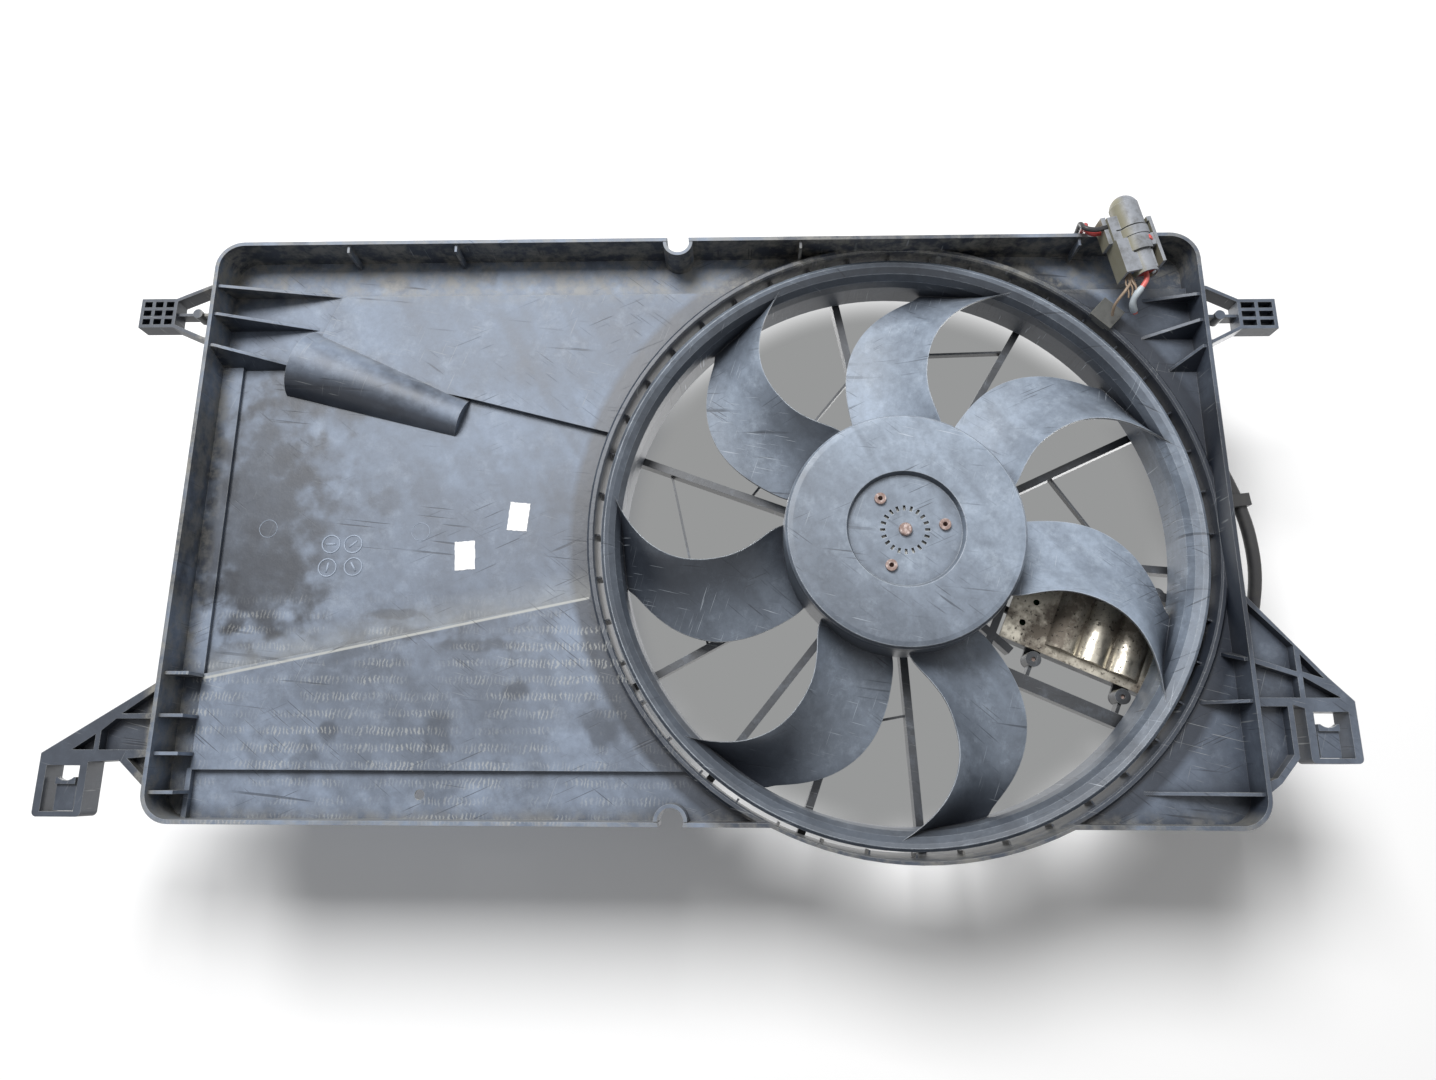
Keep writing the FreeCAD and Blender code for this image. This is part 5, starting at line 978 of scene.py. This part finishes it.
@dataclass
class Studio:
    """Camera at the photographer's place, soft lamps and the white table top behind the fan."""

    focal_px: float = 1006.1
    frame_width_px: float = 1436.0
    centre_px: tuple[float, float] = (706.0, 512.0)
    frame_height_px: float = 1080.0
    turn_degrees: tuple[float, float, float] = (-14.75, 1.70, 0.06)
    offset: Point = (123.0, 13.5, 629.6)
    depth_origin: float = 21.5
    sensor: float = 36.0
    table_gap: float = 48.0
    table_side: float = 6.0
    # painted shadow under the blades: its middle, its full and outer radii, and its grey
    painted_shadow_place: tuple[float, float] = (12.0, 17.0)
    painted_shadow_radius: tuple[float, float] = (182.0, 226.0)
    painted_shadow_colour: str = "979898"
    lamps: tuple[Lamp, ...] = (Lamp("key_lamp", (-0.7, -2.1, 1.2), 1.1, 75.0),
                               Lamp("fill_lamp", (1.4, -1.6, -0.6), 1.6, 4.0),
                               Lamp("rear_left_lamp", (-1.2, 1.6, 1.3), 1.2, 26.0),
                               Lamp("rear_right_lamp", (1.3, 1.7, 0.3), 1.2, 15.6))
    ambient: float = 0.22

    def camera(self) -> None:
        """Place the camera as it stood for the photograph."""
        turn = Vector(math.radians(part) for part in self.turn_degrees)
        rows = Quaternion(turn.normalized(), turn.length).to_matrix()
        seen = rows.transposed() @ -Vector(self.offset)
        eye = Vector((seen.x, seen.z + self.depth_origin, -seen.y))
        right = Vector((rows[0][0], rows[0][2], -rows[0][1]))
        down = Vector((rows[1][0], rows[1][2], -rows[1][1]))
        ahead = Vector((rows[2][0], rows[2][2], -rows[2][1]))
        lens = bpy.data.cameras.new("camera")
        lens.sensor_fit = "HORIZONTAL"
        lens.sensor_width = self.sensor
        lens.lens = self.focal_px * self.sensor / self.frame_width_px
        lens.shift_x = (self.frame_width_px / 2 - self.centre_px[0]) / self.frame_width_px
        lens.shift_y = (self.centre_px[1] - self.frame_height_px / 2) / self.frame_width_px
        lens.clip_start = 0.01
        lens.clip_end = 50
        camera = bpy.data.objects.new("camera", lens)
        aim = Matrix((right, -down, -ahead)).transposed().to_4x4()
        camera.matrix_world = Matrix.Translation(eye * MM) @ aim
        bpy.context.scene.collection.objects.link(camera)
        bpy.context.scene.camera = camera

    def hang(self, lamp: Lamp) -> None:
        """Hang one lamp so that it faces the middle of the object."""
        low, high = CAD_BOX
        light = bpy.data.lights.new(lamp.name, "AREA")
        light.shape = "SQUARE"
        light.size = lamp.side
        light.energy = lamp.power
        hung = bpy.data.objects.new(lamp.name, light)
        hung.location = lamp.place
        aim = (low + high) / 2 - Vector(lamp.place)
        hung.rotation_euler = aim.to_track_quat("-Z", "Y").to_euler()
        bpy.context.scene.collection.objects.link(hung)

    def world(self) -> None:
        """Light evenly from all round, and show white to the eye and in reflections."""
        world = bpy.data.worlds.new("white_room")
        bpy.context.scene.world = world
        world.use_nodes = True
        tree = world.node_tree
        tree.nodes.clear()
        add = partial(add_node, tree)
        ray = add("LightPath")
        seen = add("Math", {0: ray.outputs["Is Camera Ray"], 1: ray.outputs["Is Glossy Ray"]},
                   operation="MAXIMUM")
        seen = add("Math", {0: seen, 1: ray.outputs["Is Transmission Ray"]}, operation="MAXIMUM")
        strength = add("MapRange", {"Value": seen, "To Min": self.ambient, "To Max": 1.0})
        glow = add("Background", {"Color": (1, 1, 1, 1), "Strength": strength})
        add("OutputWorld", {"Surface": glow})

    def table(self) -> None:
        """Lay the fan on a white table top that only takes its shadow.

        It is seen from its upper side only, so it never hides the back of the fan. A soft round grey
        spot under the blades is a painted shadow: a glow of fixed grey that no lamp shades, standing in
        for the grey ground between the blades.
        """
        depth = CAD_BOX[1].y + self.table_gap * MM
        half = self.table_side / 2
        top = new_mesh("table_top", [(-half, depth, -half), (half, depth, -half), (half, depth, half),
                                     (-half, depth, half)], [(0, 1, 2, 3)])
        material = bpy.data.materials.new("white_lacquered_board")
        material.use_nodes = True
        tree = material.node_tree
        tree.nodes.clear()
        add = partial(add_node, tree)
        white = add("BsdfDiffuse", {"Color": linear("ffffff")})
        clear = add("BsdfTransparent")
        side = add("NewGeometry")
        place = add("TexCoord")
        middle = (self.painted_shadow_place[0] * MM, depth, self.painted_shadow_place[1] * MM)
        out = add("VectorMath", {0: place.outputs["Object"], 1: middle}, operation="DISTANCE")
        inside = add("MapRange", {"Value": out.outputs["Value"], "From Min": self.painted_shadow_radius[1] * MM,
                                  "From Max": self.painted_shadow_radius[0] * MM},
                     interpolation_type="SMOOTHSTEP")
        # painted shadow: the grey spot glows at a fixed level instead of being lit
        grey = add("Emission", {"Color": linear(self.painted_shadow_colour), "Strength": 1.0})
        ground = add("MixShader", {0: inside, 1: white, 2: grey})
        shown = add("MixShader", {0: side.outputs["Backfacing"], 1: ground, 2: clear})
        add("OutputMaterial", {"Surface": shown})
        top.data.materials.append(material)
        top.visible_diffuse = False
        top.visible_glossy = False
        top.visible_transmission = False
        top.visible_shadow = False

    def build(self) -> None:
        """Set up everything that isn't the object."""
        self.camera()
        for lamp in self.lamps:
            self.hang(lamp)
        self.world()
        self.table()
        bpy.context.scene.view_settings.view_transform = "Standard"


@dataclass
class WireStubs:
    """The two cut wires that hang from the free half of the connector."""

    power_route: tuple[Point, ...] = (
        (154.53, -11.3, 162.4), (155.6, -11.3, 157.4), (151.8, -10.6, 151.4),
        (147.4, -7.4, 146.4), (147.4, -2.2, 142.4), (151.2, 3.2, 140.6))
    signal_route: tuple[Point, ...] = (
        (145.03, -9.5, 161.4), (146.1, -9.5, 156.4), (142.2, -8.8, 150.4),
        (138.6, -5.2, 146.2), (136.8, 0.6, 143.2), (138, 6.6, 140.2))
    power_radius: float = 1.6
    signal_radius: float = 0.9
    power_length: float = 32.3
    signal_length: float = 31.9
    sleeve_start: float = 0.36
    sleeve_radius: float = 2.1
    sleeve_swell: float = 0.25
    sleeve_waves: float = 9.0
    neck_share: float = 0.06
    neck_depth: float = 0.35
    strand_count: int = 9
    strand_radius: float = 0.28
    strand_circle: float = 0.7
    strand_back: float = 2.0
    strand_bend: tuple[float, float] = (1.6, 0.1)
    strand_length: tuple[float, float] = (2.0, 3.4)
    strand_spread: tuple[float, float] = (0.3, 0.9)
    frayed_radius: float = 0.55
    frayed_routes: tuple[tuple[Point, ...], ...] = (
        ((144.6, -9.2, 161.0), (143.6, -9.6, 156.0), (146.8, -9.4, 151.2), (146.2, -6.5, 147.6)),
        ((145.6, -10.0, 161.0), (145.2, -10.8, 155.4), (148.6, -10.4, 150.6), (148.4, -7.0, 146.6)),
        ((144.2, -8.6, 161.0), (141.8, -8.4, 155.6), (144.2, -8.6, 150.2), (144.4, -5.6, 146.4)),
        ((146.0, -8.8, 161.0), (147.2, -9.2, 156.6), (149.4, -8.0, 152.4), (150.6, -5.4, 149.0)))

    def sleeve(self) -> Piece:
        """Shrink sleeve over the end of the power wire, tighter at its near end."""
        path = followed(list(self.power_route))
        first = round(len(path) * self.sleeve_start)
        covered = path[first:-2]
        radii = []
        for number in range(len(covered)):
            share = number / (len(covered) - 1)
            swell = self.sleeve_swell * math.sin(share * self.sleeve_waves) * share
            neck = self.neck_depth if share < self.neck_share else 0.0
            radii.append((self.sleeve_radius + swell - neck) * MM)
        return tube("shrink_sleeve", covered, radii, 20)

    def strands(self) -> list[Piece]:
        """Bare strands that fan out of the cut end of the power wire."""
        rng = random.Random(11)
        path = followed(list(self.power_route))
        tip = path[-1]
        along = (path[-1] - path[-3]).normalized()
        side = along.orthogonal().normalized()
        made = []
        for number in range(self.strand_count):
            angle = math.tau * number / self.strand_count
            out = Quaternion(along, angle) @ side
            start = tip - along * self.strand_back * MM + out * self.strand_circle * MM
            length = rng.uniform(*self.strand_length) * MM
            ahead, aside = (part * MM for part in self.strand_bend)
            points = [start, start + along * ahead + out * aside,
                      start + along * length + out * rng.uniform(*self.strand_spread) * MM]
            made.append(tube(f"strand_{number}", points, [self.strand_radius * MM] * 3, 8))
        return made

    def frayed(self) -> list[Piece]:
        """Thin cut wires that stick out beside the signal wire."""
        made = []
        for number, route in enumerate(self.frayed_routes):
            path = followed(list(route))
            made.append(tube(f"frayed_wire_{number}", path, [self.frayed_radius * MM] * len(path), 10))
        return made

    def build(self) -> None:
        power = smooth_line("power_wire", list(self.power_route), self.power_radius * MM)
        signal = smooth_line("signal_wire", list(self.signal_route), self.signal_radius * MM)
        sleeve = self.sleeve()
        strands = self.strands()
        frayed = self.frayed()
        PINK_VINYL.dress(power)
        TAN_VINYL.dress(signal, *frayed)
        SHRINK_SLEEVE.dress(sleeve)
        CUT_COPPER.dress(*strands)
        for piece, node, slot in ((power, "power_stub", "pink_insulation"),
                                  (signal, "signal_stub", "tan_insulation")):
            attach(piece, BODY)
            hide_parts(node)
        for piece in (sleeve, *strands):
            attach(piece, BODY)
        for piece in frayed:
            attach(piece, BODY)
        log.info("wire stubs: %d pieces", 3 + len(strands) + len(frayed))


@dataclass(frozen=True)
class RingShape:
    """Sizes of a low ring on the floor, in millimetres; taper is how far each side leans in."""

    radius: float
    wall: float
    height: float
    taper: float


@dataclass
class Shroud:
    """The big moulded box, its two latch tongues and what is stuck to or moulded on its floor."""

    label_places: tuple[tuple[float, float, float], ...] = ((-276.3, -12.7, 4.0), (-243.3, 12.7, -5.0))
    label_width: float = 13.0
    label_height: float = 18.5
    label_torn: float = 0.22
    label_steps: int = 12
    label_levels: tuple[float, float] = (0.02, 0.17)
    ring_places: tuple[tuple[float, float], ...] = ((-362.9, -5.1), (-348.7, -5.1), (-363.9, -20.4),
                                                    (-347.3, -19.8))
    pin_places: tuple[tuple[float, float], ...] = ((-404.8, 5.2), (-305.7, 3.0))
    bar_size: Point = (3.2, 0.7, 0.4)
    bar_turn: float = 0.7
    mark_foot: float = -0.1

    def labels(self) -> None:
        """Stick on two blank labels with slightly torn edges."""
        rng = random.Random(4)
        for number, (x, z, lean) in enumerate(self.label_places):
            place = surface_at("shroud", x * MM, z * MM) @ Matrix.Rotation(math.radians(lean), 4, "Z")
            outline = []
            half, tall = self.label_width / 2, self.label_height / 2
            corners = [(-half, -tall), (half, -tall), (half, tall), (-half, tall)]
            for corner in range(4):
                start, end = corners[corner], corners[(corner + 1) % 4]
                for step in range(self.label_steps):
                    share = step / self.label_steps
                    torn = rng.uniform(-self.label_torn, self.label_torn) if step else 0.0
                    outline.append((start[0] + (end[0] - start[0]) * share + torn,
                                    start[1] + (end[1] - start[1]) * share + torn))
            points = [place @ Vector((u * MM, v * MM, h * MM)) for h in self.label_levels
                      for u, v in outline]
            count = len(outline)
            faces = [tuple(reversed(range(count))), tuple(range(count, 2 * count))]
            faces += [(i, (i + 1) % count, count + (i + 1) % count, count + i) for i in range(count)]
            label = new_mesh(f"blank_label_{number}", points, faces)
            label.data.shade_flat()
            LABEL_PAPER.dress(label)
            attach(label, BODY)

    def rings(self) -> None:
        """Raise four small moulded rings with a plain bar, and two rims of ejector pins."""
        made = []
        for number, (x, z) in enumerate(self.ring_places):
            place = surface_at("shroud", x * MM, z * MM)
            made.append(self.ring(f"moulded_ring_{number}", place, RingShape(6.2, 1.1, 0.45, 0.25)))
            turned_place = place @ Matrix.Rotation(self.bar_turn * number, 4, "Z")
            made.append(self.bar(f"moulded_bar_{number}", turned_place))
        for number, (x, z) in enumerate(self.pin_places):
            place = surface_at("shroud", x * MM, z * MM)
            made.append(self.ring(f"ejector_rim_{number}", place, RingShape(6.0, 0.5, 0.2, 0.15)))
        for piece in made:
            MARK_RESIN.dress(piece)
            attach(piece, BODY)

    def ring(self, name: str, place: Matrix, shape: RingShape) -> Piece:
        """Make one low ring with sloping sides, its foot a little inside the floor.

        Args:
            name: name of the piece.
            place: middle of the ring on the floor.
            shape: its sizes.

        Returns:
            The ring.
        """
        outer, inner = shape.radius, shape.radius - shape.wall
        profile = [(inner, self.mark_foot), (outer, self.mark_foot),
                   (outer - shape.taper, shape.height), (inner + shape.taper, shape.height)]
        return turned(name, [(radius * MM, height * MM) for radius, height in profile], 48, place)

    def bar(self, name: str, place: Matrix) -> Piece:
        """Make the low bar with a crowned top that lies across a moulded ring.

        Args:
            name: name of the piece.
            place: middle of the bar on the floor.

        Returns:
            The bar.
        """
        length, width, height = (size * MM for size in self.bar_size)
        foot = self.mark_foot * MM
        section = [(-width, foot), (-width * 0.7, height * 0.8), (0.0, height),
                   (width * 0.7, height * 0.8), (width, foot)]
        points = [place @ Vector((end, u, v)) for end in (-length, length) for u, v in section]
        count = len(section)
        faces = [(i, (i + 1) % count, count + (i + 1) % count, count + i) for i in range(count)]
        faces += [tuple(reversed(range(count))), tuple(range(count, 2 * count))]
        return new_mesh(name, points, faces)

    def dress(self) -> None:
        """Finish the box and its tongues."""
        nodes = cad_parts
        SHROUD_RESIN.dress(nodes["shroud"], nodes["left_latch"], nodes["right_latch"])

    def build(self) -> None:
        """Make and finish everything of the shroud."""
        self.labels()
        self.rings()
        self.dress()
        log.info("shroud: %d labels, %d rings", len(self.label_places), len(self.ring_places))


@dataclass
class LockPiece:
    """The small red piece that shows beside the barrel of the connector's free half."""

    place: tuple[float, float] = (157.2, 182.0)
    width: float = 3.6
    height: float = 3.0
    proud: float = 0.7
    chamfer: float = 0.3

    def build(self) -> None:
        """Make the piece as a low chamfered block, a little of it inside the barrel's wall."""
        place = surface_at("connector_mate", self.place[0] * MM, self.place[1] * MM)
        points = []
        for level, inset in ((-0.5, 0.0), (self.proud - self.chamfer, 0.0), (self.proud, self.chamfer)):
            half = (self.width / 2 - inset, self.height / 2 - inset)
            for u, v in ((-1, -1), (1, -1), (1, 1), (-1, 1)):
                points.append(place @ Vector((u * half[0] * MM, v * half[1] * MM, level * MM)))
        faces = [(3, 2, 1, 0), (8, 9, 10, 11)]
        for level in (0, 4):
            faces += [(level + i, level + (i + 1) % 4, level + 4 + (i + 1) % 4, level + 4 + i)
                      for i in range(4)]
        block = new_mesh("red_lock_piece", points, faces)
        block.data.shade_flat()
        RED_LOCK.dress(block)
        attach(block, BODY)
        log.info("lock piece: 1 piece")


@dataclass
class Dressed:
    """A sub-assembly whose pieces all come from the model and only need their finish."""

    title: str
    finishes: dict[str, Finish]

    def build(self) -> None:
        """Give every named node its finish."""
        for node, finish in self.finishes.items():
            finish.dress(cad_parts[node])
        log.info("%s: %d nodes dressed", self.title, len(self.finishes))


def sub_assemblies() -> list[Dressed]:
    """List the sub-assemblies that come whole from the model.

    Returns:
        Each of them with the finish of its nodes.
    """
    rotor = Dressed("rotor", {
        "fan_impeller": FAN_RESIN, "drive_plate": ZINC_STEEL, "hub_screws": RUSTED_STEEL,
        "motor_shaft": RUSTED_STEEL, "armature_core": CORE_STEEL, "armature_windings": COPPER,
        "commutator": COPPER})
    motor = Dressed("motor", {
        "motor_can": ZINC_STEEL, "motor_end_cap": ZINC_STEEL, "front_bearing": BEARING_STEEL,
        "rear_bearing": BEARING_STEEL, "motor_magnets": FERRITE, "brush_card": CARD_PHENOLIC,
        "upper_brush": GRAPHITE, "lower_brush": GRAPHITE, "upper_brush_spring": SPRING_STEEL,
        "lower_brush_spring": SPRING_STEEL, "motor_grommet": BLACK_RUBBER, "motor_bolts": RUSTED_STEEL,
        "motor_lead": LOOM_SLEEVE, "motor_carrier": CARRIER_RESIN})
    module = Dressed("control module", {
        "module_housing": MODULE_POLYAMIDE, "heat_cover": COVER_ALUMINIUM,
        "circuit_board": BOARD_LAMINATE, "power_transistors": CHIP_EPOXY,
        "filter_capacitor": CAPACITOR_CAN, "module_screws": RUSTED_STEEL})
    harness = Dressed("harness", {
        "harness_loom": LOOM_SLEEVE, "loom_clips": LOOM_SLEEVE, "red_supply_wire": RED_VINYL,
        "black_supply_wire": BLACK_VINYL, "harness_anchor": ANCHOR_POLYAMIDE})
    connector = Dressed("connector", {
        "connector_housing": CONNECTOR_POLYESTER, "connector_mate": CONNECTOR_POLYESTER,
        "lock_lever": CONNECTOR_POLYESTER, "main_seal": RED_SILICONE, "side_seal": BLUE_SILICONE,
        "connector_terminals": TERMINAL_BRASS})
    return [rotor, motor, module, harness, connector]


def main() -> None:
    """Build the studio and every sub-assembly in order."""
    logging.basicConfig(level=logging.INFO, format="%(name)s: %(message)s")
    Studio().build()
    WireStubs().build()
    Shroud().build()
    LockPiece().build()
    for part in sub_assemblies():
        part.build()


if __name__ == "__main__":
    main()
